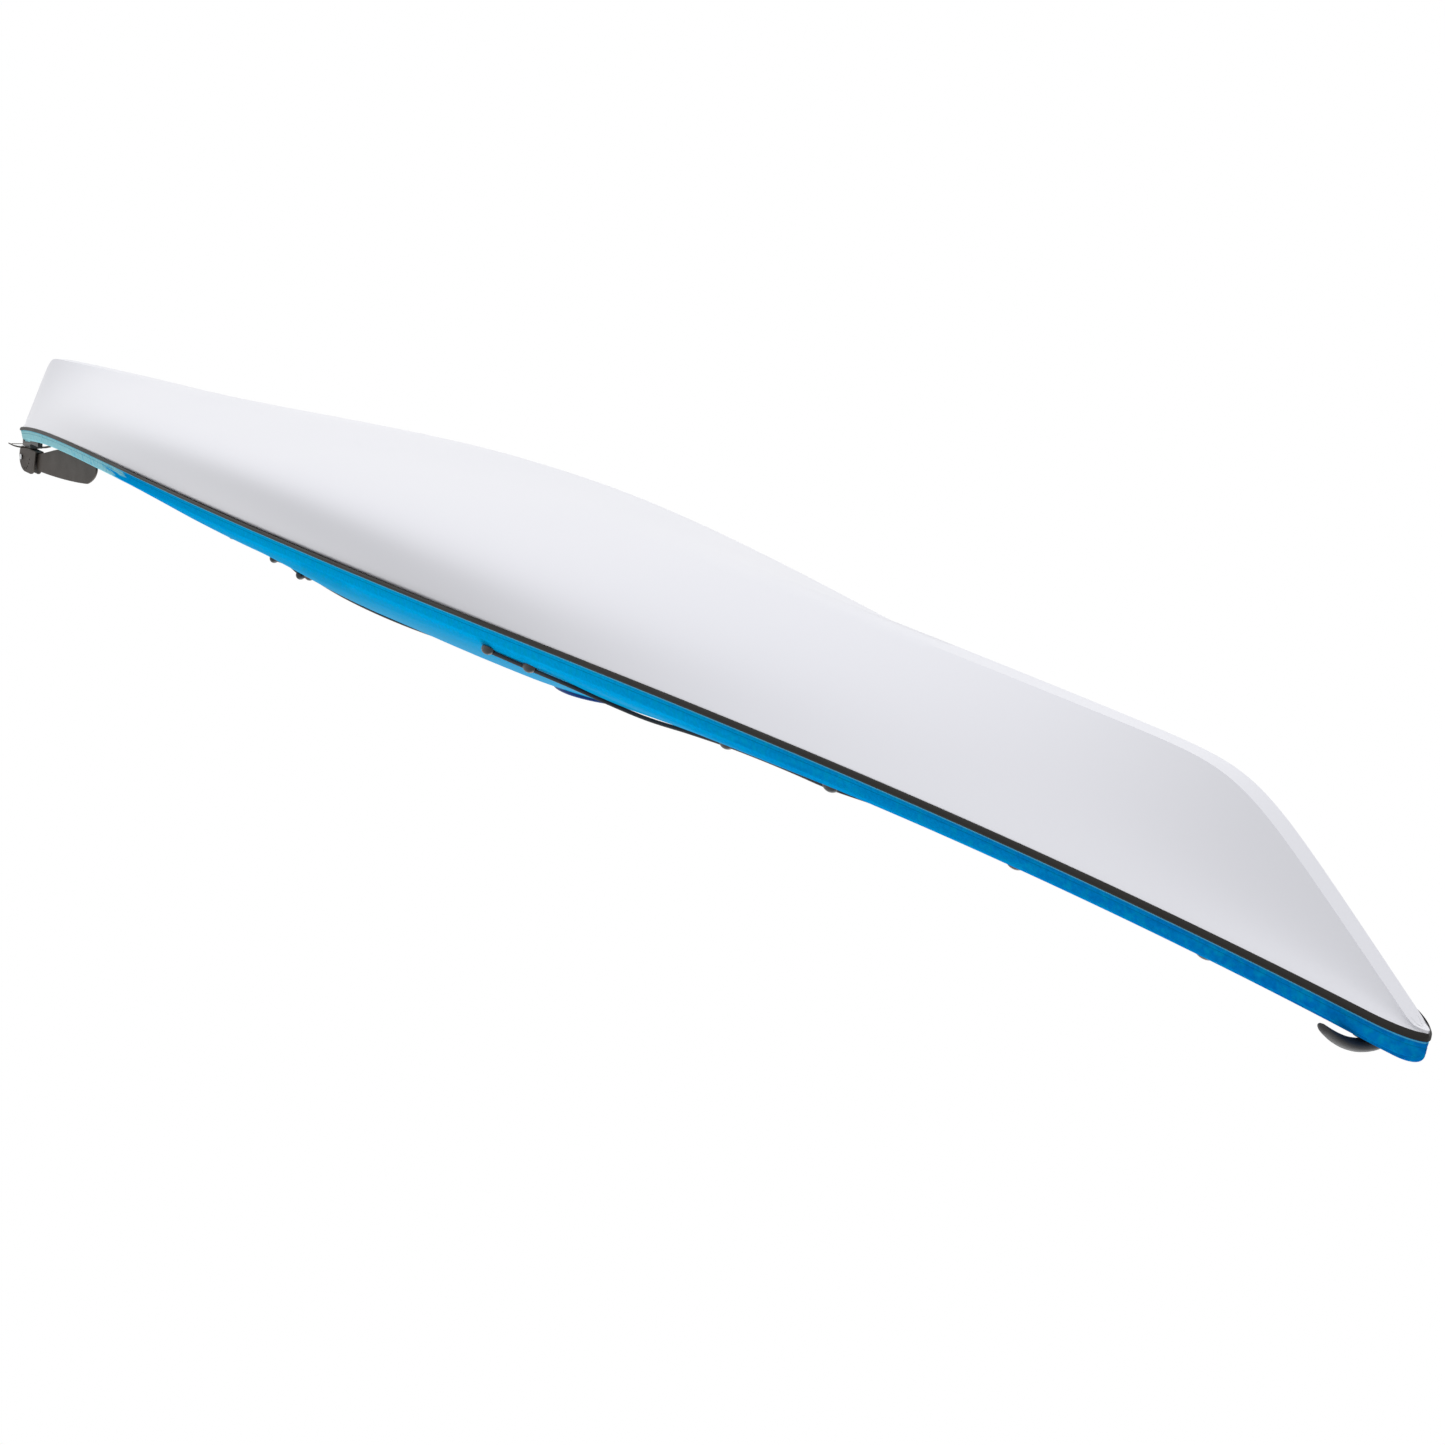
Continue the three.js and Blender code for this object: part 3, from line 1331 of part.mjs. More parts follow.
addPiece('bow_handle', makeHandle(bowHandleX), 'blackRubber');
addPiece('bow_handle_base', makeHandleBase(bowHandleX), 'blackPlastic');
addPiece('stern_handle', makeHandle(sternHandleX), 'blackRubber');
addPiece('stern_handle_base', makeHandleBase(sternHandleX), 'blackPlastic');

// Deck rigging: each line lies on the deck through low saddle fittings

function deckPoint(x, acrossShare, lift) {
  const y = acrossShare * deckHalfWidth(x);
  return new THREE.Vector3(x, y, deckTop(x, y) + lift);
}

function saddle(x, acrossShare) {
  const seat = deckPoint(x, acrossShare, 0);
  const dome = new THREE.SphereGeometry(1, 8, 3);
  dome.scale(fittingLength / 2, fittingWidth / 2, fittingHeight);
  const slope = new THREE.Quaternion().setFromUnitVectors(new THREE.Vector3(0, 0, 1), deckNormal(x, seat.y));
  return solidOf(dome.applyQuaternion(slope).translate(seat.x, seat.y, seat.z));
}

function deckNormal(x, y) {
  const step = fitGap;
  const slopeX = (deckTop(x + step, y) - deckTop(x - step, y)) / (2 * step);
  const slopeY = (deckTop(x, y + step) - deckTop(x, y - step)) / (2 * step);
  return new THREE.Vector3(-slopeX, -slopeY, 1).normalize();
}

function rigging(routes, saddles, radius, steps) {
  const cords = routes.map((route) => sweep(route.map(([x, share]) => deckPoint(x, share, radius + 1)),
    radius, 6, steps));
  return cut(unite(...saddles.map(([x, share]) => saddle(x, share)), ...cords), deckCover);
}

// Front line: share of the hull's length ahead of the middle, share of the half width, and where it is held
const frontLine = [
  [0.1576, 0.93, true], [0.1793, 0.89, true], [0.1957, 0.85, false], [0.213, 0.55, false], [0.2304, 0.42, false],
  [0.25, 0.42, true], [0.2717, 0.46, false], [0.2891, 0.51, false], [0.3087, 0.58, true], [0.3261, 0.51, false],
  [0.3478, 0.53, false], [0.3804, 0.58, true], [0.413, 0.55, false], [0.4391, 0.42, true],
];
const frontLineSteps = 15;

function perimeterLine(side) {
  const places = frontLine.map(([lengthShare, acrossShare, held]) => [lengthShare * hullLength,
    side * acrossShare, held]);
  return rigging([places], places.filter(([, , held]) => held), lineRadius, frontLineSteps);
}

addPiece('perimeter_line_port', perimeterLine(1), 'cordBlack');
addPiece('perimeter_line_starboard', perimeterLine(-1), 'cordBlack');

// The rear bungee runs along both side decks beside the cockpit and across the deck behind it

const bungeeSteps = 8;
const rearBungeeLeg = [
  [-247, 0.3], [-177, 0.5], [-112, 0.63], [2, 0.6], [109, 0.638], [203, 0.68], [280, 0.708], [308, 0.7],
].map(([ahead, share]) => [cockpitAft + ahead, share]);
const rearBungeeAcross = [1, 0.5, 0, -0.5, -1].map((share) => [rearBungeeLeg[0][0], share * rearBungeeLeg[0][1]]);
const rearBungeePort = rearBungeeLeg;
const rearBungeeStarboard = rearBungeeLeg.map(([x, share]) => [x, -share]);
const rearBungeeRoutes = [rearBungeePort, rearBungeeStarboard, rearBungeeAcross];
const rearBungeeEnds = [rearBungeePort, rearBungeeStarboard].flatMap((route) => [0, 2, 3, 7].map(
  (index) => route[index]));
addPiece('rear_bungee', rigging(rearBungeeRoutes, rearBungeeEnds, bungeeRadius, bungeeSteps), 'cordBlack');

// Beads threaded on the rear bungee, two on each side

const beadPlaces = [rearBungeeLeg[4], rearBungeeLeg[6]];

function makeBead(x, acrossShare) {
  const seat = deckPoint(x, acrossShare, bungeeRadius + 1);
  const lift = deckNormal(x, seat.y).multiplyScalar(beadRadius * 0.15);
  const ball = new THREE.SphereGeometry(beadRadius, 8, 5);
  const centre = seat.clone().add(lift);
  const bores = [rearBungeePort, rearBungeeStarboard].map((route) => sweep(
    route.map(([placeX, share]) => deckPoint(placeX, share, bungeeRadius + 1)), bungeeRadius + fitGap, 6,
    bungeeSteps));
  return cut(solidOf(ball.translate(centre.x, centre.y, centre.z)), deckCover, ...bores);
}

[['port', 1], ['starboard', -1]].forEach(([name, side]) => {
  beadPlaces.forEach(([x, share], index) => {
    addPiece(`bungee_bead_${name}_${index + 1}`, makeBead(x, side * share), 'blackPlastic');
  });
});

export default part;
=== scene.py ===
import math

import bmesh
import bpy
import numpy as np
from mathutils import Matrix, Vector


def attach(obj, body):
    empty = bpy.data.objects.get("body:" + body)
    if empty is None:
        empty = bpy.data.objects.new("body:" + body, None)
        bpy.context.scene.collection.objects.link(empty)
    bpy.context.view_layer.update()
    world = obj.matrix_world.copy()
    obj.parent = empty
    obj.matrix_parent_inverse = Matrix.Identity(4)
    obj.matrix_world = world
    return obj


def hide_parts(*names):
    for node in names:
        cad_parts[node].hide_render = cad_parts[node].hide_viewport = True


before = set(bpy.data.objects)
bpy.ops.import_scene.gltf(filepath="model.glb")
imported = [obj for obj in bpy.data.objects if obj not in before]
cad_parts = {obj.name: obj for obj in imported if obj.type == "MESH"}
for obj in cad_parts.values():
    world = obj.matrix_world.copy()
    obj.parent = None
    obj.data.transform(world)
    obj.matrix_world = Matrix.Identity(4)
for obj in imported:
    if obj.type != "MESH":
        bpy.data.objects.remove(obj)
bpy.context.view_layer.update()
print("stage: frame loaded")


def linked(name, data):
    obj = bpy.data.objects.new(name, data)
    bpy.context.collection.objects.link(obj)
    return obj


# Camera at the photograph's angle: below the keel, off the port bow

view = {
    "place": (3.87121715, 1.86857248, -0.48940832),
    "right": (0.52527906, -0.84598211, -0.09163064),
    "up": (-0.22364935, -0.03335891, -0.97409864),
    "back": (0.82101333, 0.53216675, -0.20672609),
    "lens": 62.293, "sensor": 36.0,  # millimetres
    "near": 0.02, "far": 160.0,
}

cameraData = bpy.data.cameras.new("photoCamera")
cameraData.lens = view["lens"]
cameraData.sensor_width = view["sensor"]
cameraData.clip_start = view["near"]
cameraData.clip_end = view["far"]
camera = linked("photoCamera", cameraData)
axes = Matrix((view["right"], view["up"], view["back"])).transposed()
camera.matrix_world = Matrix.Translation(view["place"]) @ axes.to_4x4()
bpy.context.scene.camera = camera
bpy.context.scene.view_settings.view_transform = "Standard"

# Hull lines, in metres, as in the part

lines = {
    "half": 2.3, "seamHalf": 0.279, "seamMid": 0.1374,  # half length; half beam and height of the seam
    "riseBow": 0.1133, "riseStern": 0.1057, "sheerBow": 3.773, "sheerStern": 2.974,
    "rockerBow": 0.069, "rockerStern": 0.0545, "rockerPower": 1.869,
    "stemRake": 0.3675, "sternRake": 0.2583, "stemRound": 0.0222, "sternRound": 0.0135,
    "widest": 0.489, "fullStern": 2.108, "fullBow": 2.493,  # plan: place of the beam, fullness of the ends
    "noseWidth": 0.0193, "noseLength": 0.05, "noseFade": 3, "noseDepth": 0.007,
    "noseDrop": 0.028, "noseShare": 0.5,  # length and depth of the deck's fall at both tips
    "keelFlat": 0.022, "stemFlat": 0.010, "keelDrop": 0.0009,
    "bottomPull": 0.88, "sidePull": 0.8,  # how far bottom and side follow the chine point
    "band": 0.0276, "bandLean": 0.005, "bandCorner": 0.008,  # side band over the seam
    "crown": 0.097, "wall": 0.005, "seamGap": 0.001,
}
chineTable = [
    # place from stern to bow, share of the half beam, share of the depth
    (0, 0.548, 0.756), (0.2, 0.924, 0.337), (0.48, 1.272, -0.02), (0.8, 0.767, 0.444), (1, 0.41, 0.787),
]
crownTable = [
    # place from stern to bow, share of the crown, power of its section
    (0, 0.05, 2), (0.1, 0.12, 2), (0.2, 0.26, 2.1), (0.3, 0.43, 2.2), (0.4, 0.5, 4.2), (0.46, 0.49, 5),
    (0.52, 0.64, 5), (0.58, 0.84, 3.2), (0.64, 1, 2.1), (0.7, 0.82, 1.9), (0.75, 0.6, 2.2),
    (0.8, 0.42, 2.6), (0.88, 0.22, 2.2), (1, 0.07, 1.8),
]


def throughTable(table, column):
    # Smooth curve through a column of the table that doesn't overshoot it
    xs = [row[0] for row in table]
    ys = [row[column] for row in table]
    slopes = [(ys[i + 1] - ys[i]) / (xs[i + 1] - xs[i]) for i in range(len(xs) - 1)]
    tangents = [slopes[0]]
    for before, after in zip(slopes, slopes[1:]):
        tangents.append(0 if before * after <= 0 else 2 * before * after / (before + after))
    tangents.append(slopes[-1])

    def value(share):
        at = min(max(share, xs[0]), xs[-1])
        i = 0
        while i < len(xs) - 2 and at > xs[i + 1]:
            i += 1
        span = xs[i + 1] - xs[i]
        t = (at - xs[i]) / span
        first = (1 + 2 * t) * (1 - t) ** 2 * ys[i] + t * (1 - t) ** 2 * span * tangents[i]
        return first + t * t * (3 - 2 * t) * ys[i + 1] + t * t * (t - 1) * span * tangents[i + 1]

    return value


chineBreadth = throughTable(chineTable, 1)
chineHeight = throughTable(chineTable, 2)
crownLevel = throughTable(crownTable, 1)
crownRound = throughTable(crownTable, 2)


def shareAt(x):
    return x / (2 * lines["half"]) + 0.5


def fromMid(x):
    return abs(x) / lines["half"]


def towardEnd(x, length):
    # Quarter circle: 0 at the tip, 1 from the given length inwards
    end = min((lines["half"] - abs(x)) / length, 1)
    return math.sqrt(max(1 - (1 - end) ** 2, 0))


def seamHalfWidth(x):
    share = shareAt(x)
    widest = lines["widest"]
    aft = share < widest
    run = (widest - share) / widest if aft else (share - widest) / (1 - widest)
    body = lines["seamHalf"] * (1 - run ** (lines["fullStern"] if aft else lines["fullBow"]))
    nose = lines["noseWidth"] * towardEnd(x, lines["noseLength"]) * run ** lines["noseFade"]
    return max(body, 0) + nose


def seamHeight(x):
    end = "Stern" if x < 0 else "Bow"
    return lines["seamMid"] + lines["rise" + end] * fromMid(x) ** lines["sheer" + end]


def softMax(a, b, soft):
    top = max(a, b)
    return top + soft * math.log(math.exp((a - top) / soft) + math.exp((b - top) / soft))


def keelHeight(x):
    rocker = lines["rockerStern" if x < 0 else "rockerBow"] * fromMid(x) ** lines["rockerPower"]
    half, stemRake, sternRake = lines["half"], lines["stemRake"], lines["sternRake"]
    stem = (lines["seamMid"] + lines["riseBow"]) * (x - (half - stemRake)) / stemRake
    stern = (lines["seamMid"] + lines["riseStern"]) * (sternRake - half - x) / sternRake
    both = softMax(softMax(rocker, stem, lines["stemRound"]), stern, lines["sternRound"])
    return min(max(both - lines["keelDrop"], 0), seamHeight(x) - lines["noseDepth"])


def noseFall(x):
    share = lines["noseShare"]
    return share + (1 - share) * towardEnd(x, lines["noseDrop"])


def bandTop(x):
    return seamHeight(x) + lines["band"] * noseFall(x)


def deckHalfWidth(x):
    width = seamHalfWidth(x)
    return max(width - lines["bandLean"], width / 2)


def deckTop(x, y):
    across = min(abs(y) / max(deckHalfWidth(x), 1e-6), 1)
    rise = lines["crown"] * crownLevel(shareAt(x)) * noseFall(x)
    return bandTop(x) + rise * (1 - across ** crownRound(shareAt(x)))


def deckNormal(x, y):
    step = 0.0005
    slopeX = (deckTop(x + step, y) - deckTop(x - step, y)) / (2 * step)
    slopeY = (deckTop(x, y + step) - deckTop(x, y - step)) / (2 * step)
    return Vector((-slopeX, -slopeY, 1)).normalized()


def deckPoint(x, share, lift):
    y = share * deckHalfWidth(x)
    return Vector((x, y, deckTop(x, y) + lift))


# Mesh and object helpers

refining = {
    "merge": 2e-5, "mergeLoft": 1e-6,  # metres
    "flat": 4, "sharp": 32, "joinedSharp": 35, "bevelFrom": 35,  # degrees
    "segments": 2,
}


def turnsOf(count):
    return [i / count * 2 * math.pi for i in range(count)]


def bellAt(distance, width):
    return math.exp(-(distance / width) ** 2)


def newObject(name, mesh, material, node, body="hull", sharp=None):
    # Piece on a body of the part, in place of one of its solids where a node is given
    obj = linked(name, mesh)
    mesh.materials.append(material)
    if sharp:
        mesh.set_sharp_from_angle(angle=math.radians(sharp))
    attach(obj, body)
    if node:
        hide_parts(node)
    return obj


def cleaned(mesh, merge, flat=None):
    # Doubles merged, flat facets joined where an angle is given, normals outwards
    work = bmesh.new()
    work.from_mesh(mesh)
    bmesh.ops.remove_doubles(work, verts=work.verts, dist=merge)
    if flat:
        bmesh.ops.dissolve_limit(work, angle_limit=math.radians(flat), verts=work.verts, edges=work.edges)
    bmesh.ops.recalc_face_normals(work, faces=work.faces)
    work.to_mesh(mesh)
    work.free()
    for polygon in mesh.polygons:
        polygon.use_smooth = True
    return mesh


def gathered(mesh, others):
    # All the meshes in the first one
    work = bmesh.new()
    for piece in [mesh] + others:
        work.from_mesh(piece)
    work.to_mesh(mesh)
    work.free()
    for piece in others:
        bpy.data.meshes.remove(piece)
    return mesh


def loftMesh(name, rings, closedRing=True, closedLoft=False, poles=False):
    # Skin over rings of points; poles closes the first and the last points of open rings with a face each
    size = len(rings[0])
    count = len(rings)
    faces = []
    for r in range(count if closedLoft else count - 1):
        near = r * size
        far = ((r + 1) % count) * size
        for i in range(size if closedRing else size - 1):
            j = (i + 1) % size
            faces.append((near + i, near + j, far + j, far + i))
    if closedRing and not closedLoft:
        faces.append(tuple(reversed(range(size))))
        faces.append(tuple((count - 1) * size + i for i in range(size)))
    if poles:
        faces.append(tuple(r * size + size - 1 for r in range(count)))
        faces.append(tuple(r * size for r in reversed(range(count))))
    mesh = bpy.data.meshes.new(name)
    mesh.from_pydata([tuple(point) for ring in rings for point in ring], [], faces)
    return cleaned(mesh, refining["mergeLoft"])


def bevelled(obj, width, segments):
    bevel = obj.modifiers.new("softEdges", "BEVEL")
    bevel.width = width
    bevel.segments = segments
    bevel.limit_method = "ANGLE"
    bevel.angle_limit = math.radians(refining["bevelFrom"])


def refined(node, name, material, body, bevel, flat=refining["flat"]):
    # A solid of the part as it is, with its flat facets merged and its edges softened
    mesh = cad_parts[node].data.copy()
    mesh.materials.clear()
    cleaned(mesh, refining["merge"], flat)
    obj = newObject(name, mesh, material, node, body, refining["sharp"])
    if bevel:
        bevelled(obj, bevel, refining["segments"])


def joined(name, meshes, material, node, body="hull"):
    whole = gathered(bpy.data.meshes.new(name), meshes)
    return newObject(name, whole, material, node, body, refining["joinedSharp"])


# Shader helpers

fineness = {"grainDetail": 4, "wearDetail": 6, "depth": 0.0004}  # of the grain that every material has


def feed(made, inputs):
    # A socket is linked, any other value is set
    for key, value in inputs.items():
        if isinstance(value, bpy.types.NodeSocket):
            made.id_data.links.new(value, made.inputs[key])
        else:
            made.inputs[key].default_value = value


def addNode(tree, kind, inputs=None, **settings):
    made = tree.nodes.new(kind)
    for key, value in settings.items():
        setattr(made, key, value)
    feed(made, inputs or {})
    return made


def maths(tree, operation, *values):
    return addNode(tree, "ShaderNodeMath", dict(enumerate(values)), operation=operation).outputs["Value"]


def ranged(tree, value, low, high, least, most, **settings):
    inputs = {"Value": value, "From Min": low, "From Max": high, "To Min": least, "To Max": most}
    return addNode(tree, "ShaderNodeMapRange", inputs, **settings).outputs["Result"]


def mixed(tree, amount, under, over, blend="MIX"):
    inputs = {"Factor": amount, "A": under, "B": over}
    return addNode(tree, "ShaderNodeMix", inputs, data_type="RGBA", blend_type=blend).outputs["Result"]


def noise(tree, spot, scale, detail):
    inputs = {"Vector": spot, "Scale": scale, "Detail": detail}
    return addNode(tree, "ShaderNodeTexNoise", inputs).outputs["Fac"]


def fineGrainGroup():
    group = bpy.data.node_groups.new("fineGrain", "ShaderNodeTree")
    for label in ("Scale", "Height", "Wear Scale"):
        group.interface.new_socket(label, in_out="INPUT", socket_type="NodeSocketFloat")
    group.interface.new_socket("Normal", in_out="OUTPUT", socket_type="NodeSocketVector")
    group.interface.new_socket("Wear", in_out="OUTPUT", socket_type="NodeSocketFloat")
    given = group.nodes.new("NodeGroupInput").outputs
    spot = addNode(group, "ShaderNodeTexCoord").outputs["Object"]
    grain = noise(group, spot, given["Scale"], fineness["grainDetail"])
    wear = noise(group, spot, given["Wear Scale"], fineness["wearDetail"])
    bump = addNode(group, "ShaderNodeBump",
                   {"Distance": fineness["depth"], "Strength": given["Height"], "Height": grain})
    addNode(group, "NodeGroupOutput", {"Normal": bump.outputs["Normal"], "Wear": wear})
    return group


fineGrain = fineGrainGroup()


def linearColour(red, green, blue):
    def one(value):
        share = value / 255
        return share / 12.92 if share <= 0.04045 else ((share + 0.055) / 1.055) ** 2.4

    return (one(red), one(green), one(blue), 1.0)


def plainMaterial(name, colours, rough=0.5, roughSpread=0.08, metal=0.0, grain=400.0, bump=0.1,
                  wearScale=6.0, coat=0.0, coatRough=0.05, specular=0.5, sheen=0.0):
    # Two close colours and a spread of roughness, worn unevenly, over a fine grain
    material = bpy.data.materials.new(name)
    material.use_nodes = True
    tree = material.node_tree
    shader = tree.nodes["Principled BSDF"]
    detail = addNode(tree, "ShaderNodeGroup", {"Scale": grain, "Height": bump, "Wear Scale": wearScale},
                     node_tree=fineGrain)
    wear = detail.outputs["Wear"]
    feed(shader, {
        "Roughness": ranged(tree, wear, 0, 1, rough - roughSpread, rough + roughSpread),
        "Normal": detail.outputs["Normal"],
        "Metallic": metal, "Coat Weight": coat, "Coat Roughness": coatRough,
        "Specular IOR Level": specular, "Sheen Weight": sheen,
    })
    if colours:
        first, second = [linearColour(*colour) for colour in colours]
        feed(shader, {"Base Color": mixed(tree, wear, first, second)})
    return material


hullWhite = plainMaterial(
    "hullWhite", ((231, 231, 237), (226, 227, 234)), rough=0.34, roughSpread=0.05,
    grain=900.0, bump=0.02, wearScale=1.3, coat=0.1, coatRough=0.15, specular=0.3)
innerWhite = plainMaterial(
    "innerWhite", ((205, 208, 212), (188, 191, 196)), rough=0.55, grain=300.0, bump=0.15,
    wearScale=4.0)
coverNavy = plainMaterial(
    "coverNavy", ((4, 72, 150), (2, 56, 126)), rough=0.4, grain=500.0, specular=0.1)
seamCharcoal = plainMaterial(
    "seamCharcoal", ((48, 46, 44), (38, 37, 35)), rough=0.55, grain=700.0, bump=0.2,
    wearScale=9.0, specular=0.15)
blackPlastic = plainMaterial(
    "blackPlastic", ((34, 35, 37), (24, 25, 27)), rough=0.42, grain=900.0, bump=0.25,
    wearScale=12.0)
blackRubber = plainMaterial(
    "blackRubber", ((42, 43, 46), (26, 27, 29)), rough=0.55, grain=700.0, bump=0.3,
    wearScale=14.0)
rudderGrey = plainMaterial(
    "rudderGrey", ((76, 68, 62), (60, 53, 48)), metal=0.1, grain=600.0, bump=0.15,
    wearScale=16.0, specular=0.15)
brightSteel = plainMaterial(
    "brightSteel", ((206, 208, 210), (170, 172, 176)), rough=0.28, metal=1.0, grain=800.0,
    wearScale=30.0)
wireGrey = plainMaterial(
    "wireGrey", ((112, 107, 101), (84, 79, 74)), rough=0.4, metal=0.5, grain=1600.0, bump=0.5,
    wearScale=60.0, specular=0.3)
foamGrey = plainMaterial(
    "foamGrey", ((66, 70, 76), (50, 53, 58)), rough=0.9, grain=900.0, bump=0.5,
    wearScale=20.0, sheen=0.3)
cordBlack = plainMaterial(
    "cordBlack", ((30, 31, 34), (48, 50, 54)), rough=0.8, grain=1400.0, bump=0.6,
    wearScale=300.0)

deckPaint = {
    "stops": [
        # place along the hull from stern to bow, colour
        (-2.3, (172, 226, 232)), (-1.05, (156, 220, 234)), (-0.93, (120, 202, 230)), (-0.88, (0, 152, 228)),
        (-0.1, (0, 174, 242)), (0.9, (0, 174, 244)), (1.4, (0, 156, 228)), (2.3, (0, 122, 208)),
    ],
    "teeth": (6.0, 40.0, 90.0), "teethDetail": 5, "ragged": 0.5,  # the border between pale and blue
    "speckle": 220, "speckleDetail": 3, "speckleRange": (0.35, 0.65, 0.9, 1.06),
    "blotch": 90, "blotchDetail": 4,
    "mottle": ((0, 176, 214), 0.4, 0.48, 0.68),  # colour, strength, from and to in the blotches
    "paintedCrownShade": ((24, 150, 178), 0.35, 0.03, 0.06),  # painted shade over the crown above the side band: colour, strength, from and to over the seam
    "lip": (0.0056, 0.0013, (104, 208, 244), 0.8),  # painted highlight line just under the seam strip: height over the seam, half width, colour, strength
    # painted shade line along the crease in the side band, with the same four columns
    "groove": (0.0117, 0.0010, (0, 112, 150), 0.55),
    "glossFrom": 0.03, "glossTo": 0.07, "gloss": 0.09,  # the crown shines, the rubbed side band doesn't
}


def heightOverSeam(tree, split):
    # Height of a surface point over the seam line, from the same sheer as the hull
    x = split.outputs["X"]
    reach = maths(tree, "MULTIPLY", maths(tree, "ABSOLUTE", x), 1 / lines["half"])
    stern, bow = [
        maths(tree, "MULTIPLY", maths(tree, "POWER", reach, lines["sheer" + end]), lines["rise" + end])
        for end in ("Stern", "Bow")
    ]
    isBow = maths(tree, "GREATER_THAN", x, 0.0)
    atBow = maths(tree, "MULTIPLY", isBow, maths(tree, "SUBTRACT", bow, stern))
    fromSeamMid = maths(tree, "SUBTRACT", split.outputs["Z"], lines["seamMid"])
    return maths(tree, "SUBTRACT", fromSeamMid, maths(tree, "ADD", stern, atBow))


def deckMaterial():
    # Blue that pales raggedly towards the stern, with a painted highlight line under the seam strip and a
    # painted shade line along the crease in the side band, and painted shade over the crown
    p = deckPaint
    material = plainMaterial("deckBlue", None, rough=0.3, roughSpread=0.05, grain=900.0,
                             bump=0.03, wearScale=3.0, coatRough=0.06, specular=0.0)
    tree = material.node_tree
    spot = addNode(tree, "ShaderNodeTexCoord").outputs["Object"]
    split = addNode(tree, "ShaderNodeSeparateXYZ", {"Vector": spot})
    teeth = addNode(tree, "ShaderNodeMapping", {"Vector": spot, "Scale": p["teeth"]}).outputs["Vector"]
    shift = maths(tree, "MULTIPLY_ADD", noise(tree, teeth, 1.0, p["teethDetail"]), 2 * p["ragged"],
                  -p["ragged"])
    moved = maths(tree, "ADD", split.outputs["X"], shift)
    along = ranged(tree, moved, -lines["half"], lines["half"], 0, 1)
    ramp = addNode(tree, "ShaderNodeValToRGB", {"Fac": along})
    while len(ramp.color_ramp.elements) < len(p["stops"]):
        ramp.color_ramp.elements.new(0.5)
    for element, (x, colour) in zip(ramp.color_ramp.elements, p["stops"]):
        element.position = shareAt(x)
        element.color = linearColour(*colour)
    speckle = ranged(tree, noise(tree, spot, p["speckle"], p["speckleDetail"]), *p["speckleRange"])
    paint = mixed(tree, 1.0, ramp.outputs["Color"], speckle, "MULTIPLY")
    above = heightOverSeam(tree, split)
    blotch = noise(tree, spot, p["blotch"], p["blotchDetail"])
    # blotches of a second blue, then painted shade over the crown, rising from just above the side band
    for label, source in (("mottle", blotch), ("paintedCrownShade", above)):
        colour, strength, low, high = p[label]
        paint = mixed(tree, ranged(tree, source, low, high, 0, strength), paint, linearColour(*colour))
    # painted shade line at the crease of the side band, then painted highlight line just under the seam
    # strip
    for label in ("groove", "lip"):
        level, halfWidth, colour, strength = p[label]
        away = maths(tree, "ABSOLUTE", maths(tree, "SUBTRACT", above, level))
        amount = ranged(tree, away, 0, halfWidth, strength, 0, interpolation_type="SMOOTHSTEP")
        paint = mixed(tree, amount, paint, linearColour(*colour))
    gloss = ranged(tree, above, p["glossFrom"], p["glossTo"], 0, p["gloss"])
    feed(tree.nodes["Principled BSDF"], {"Base Color": paint, "Coat Weight": gloss})
    return material


deckBlue = deckMaterial()
print("stage: materials")

# Hull and deck skins

skin = {
    "hullStations": 170, "deckStations": 190, "fromEnd": 0.00002, "crowding": 1.9,  # closer at the tips
    "sectionSteps": 36, "hullSharp": 26, "deckSharp": 50,
    "room": 0.0005, "thinnest": 0.01,  # least room between the two walls, least share of the wall
}


def stations(count):
    half, fromEnd = lines["half"], skin["fromEnd"]
    aft = [-half + fromEnd + (half - fromEnd) * (i / count) ** skin["crowding"] for i in range(count + 1)]
    return aft + [-x for x in reversed(aft[:-1])]


def addWall(obj):
    # Wall thickness inwards, thinner where the two sides meet at bow and stern
    obj.data.materials.append(innerWhite)
    group = obj.vertex_groups.new(name="wall")
    for vertex in obj.data.vertices:
        room = seamHalfWidth(vertex.co.x) / 2 - skin["room"]
        group.add([vertex.index], min(max(room / lines["wall"], skin["thinnest"]), 1), "REPLACE")
    wall = obj.modifiers.new("wall", "SOLIDIFY")
    wall.thickness = lines["wall"]
    wall.offset = -1
    wall.vertex_group = "wall"
    wall.material_offset = 1
    wall.material_offset_rim = 1


def hullHalf(x, steps):
    # Section from keel to seam: a curve that is drawn towards the chine point
    seamY = seamHalfWidth(x)
    seamZ = seamHeight(x)
    low = keelHeight(x)
    flat = lines["stemFlat"] + (lines["keelFlat"] - lines["stemFlat"]) * (1 - fromMid(x) ** 2)
    p0 = np.array((min(flat, seamY / 2), low))
    p3 = np.array((seamY, seamZ))
    chine = np.array((chineBreadth(shareAt(x)) * seamY, low + chineHeight(shareAt(x)) * (seamZ - low)))
    p1 = p0 + lines["bottomPull"] * (chine - p0)
    p2 = p3 + lines["sidePull"] * (chine - p3)
    shrink = (seamZ - lines["seamGap"] - low) / (seamZ - low)
    half = []
    for i in range(steps + 1):
        t = i / steps
        point = (1 - t) ** 3 * p0 + 3 * t * (1 - t) ** 2 * p1 + 3 * t * t * (1 - t) * p2 + t ** 3 * p3
        half.append((point[0], low + (max(point[1], low) - low) * shrink))
    return half


def makeHull():
    rings = []
    for x in stations(skin["hullStations"]):
        half = hullHalf(x, skin["sectionSteps"])
        ring = [Vector((x, y, z)) for y, z in reversed(half)]
        ring += [Vector((x, 0, half[0][1]))]
        ring += [Vector((x, -y, z)) for y, z in half]
        rings.append(ring)
    mesh = loftMesh("hullSkin", rings, closedRing=False)
    addWall(newObject("hullSkin", mesh, hullWhite, "hull_shell", sharp=skin["hullSharp"]))


makeHull()
print("stage: hull")

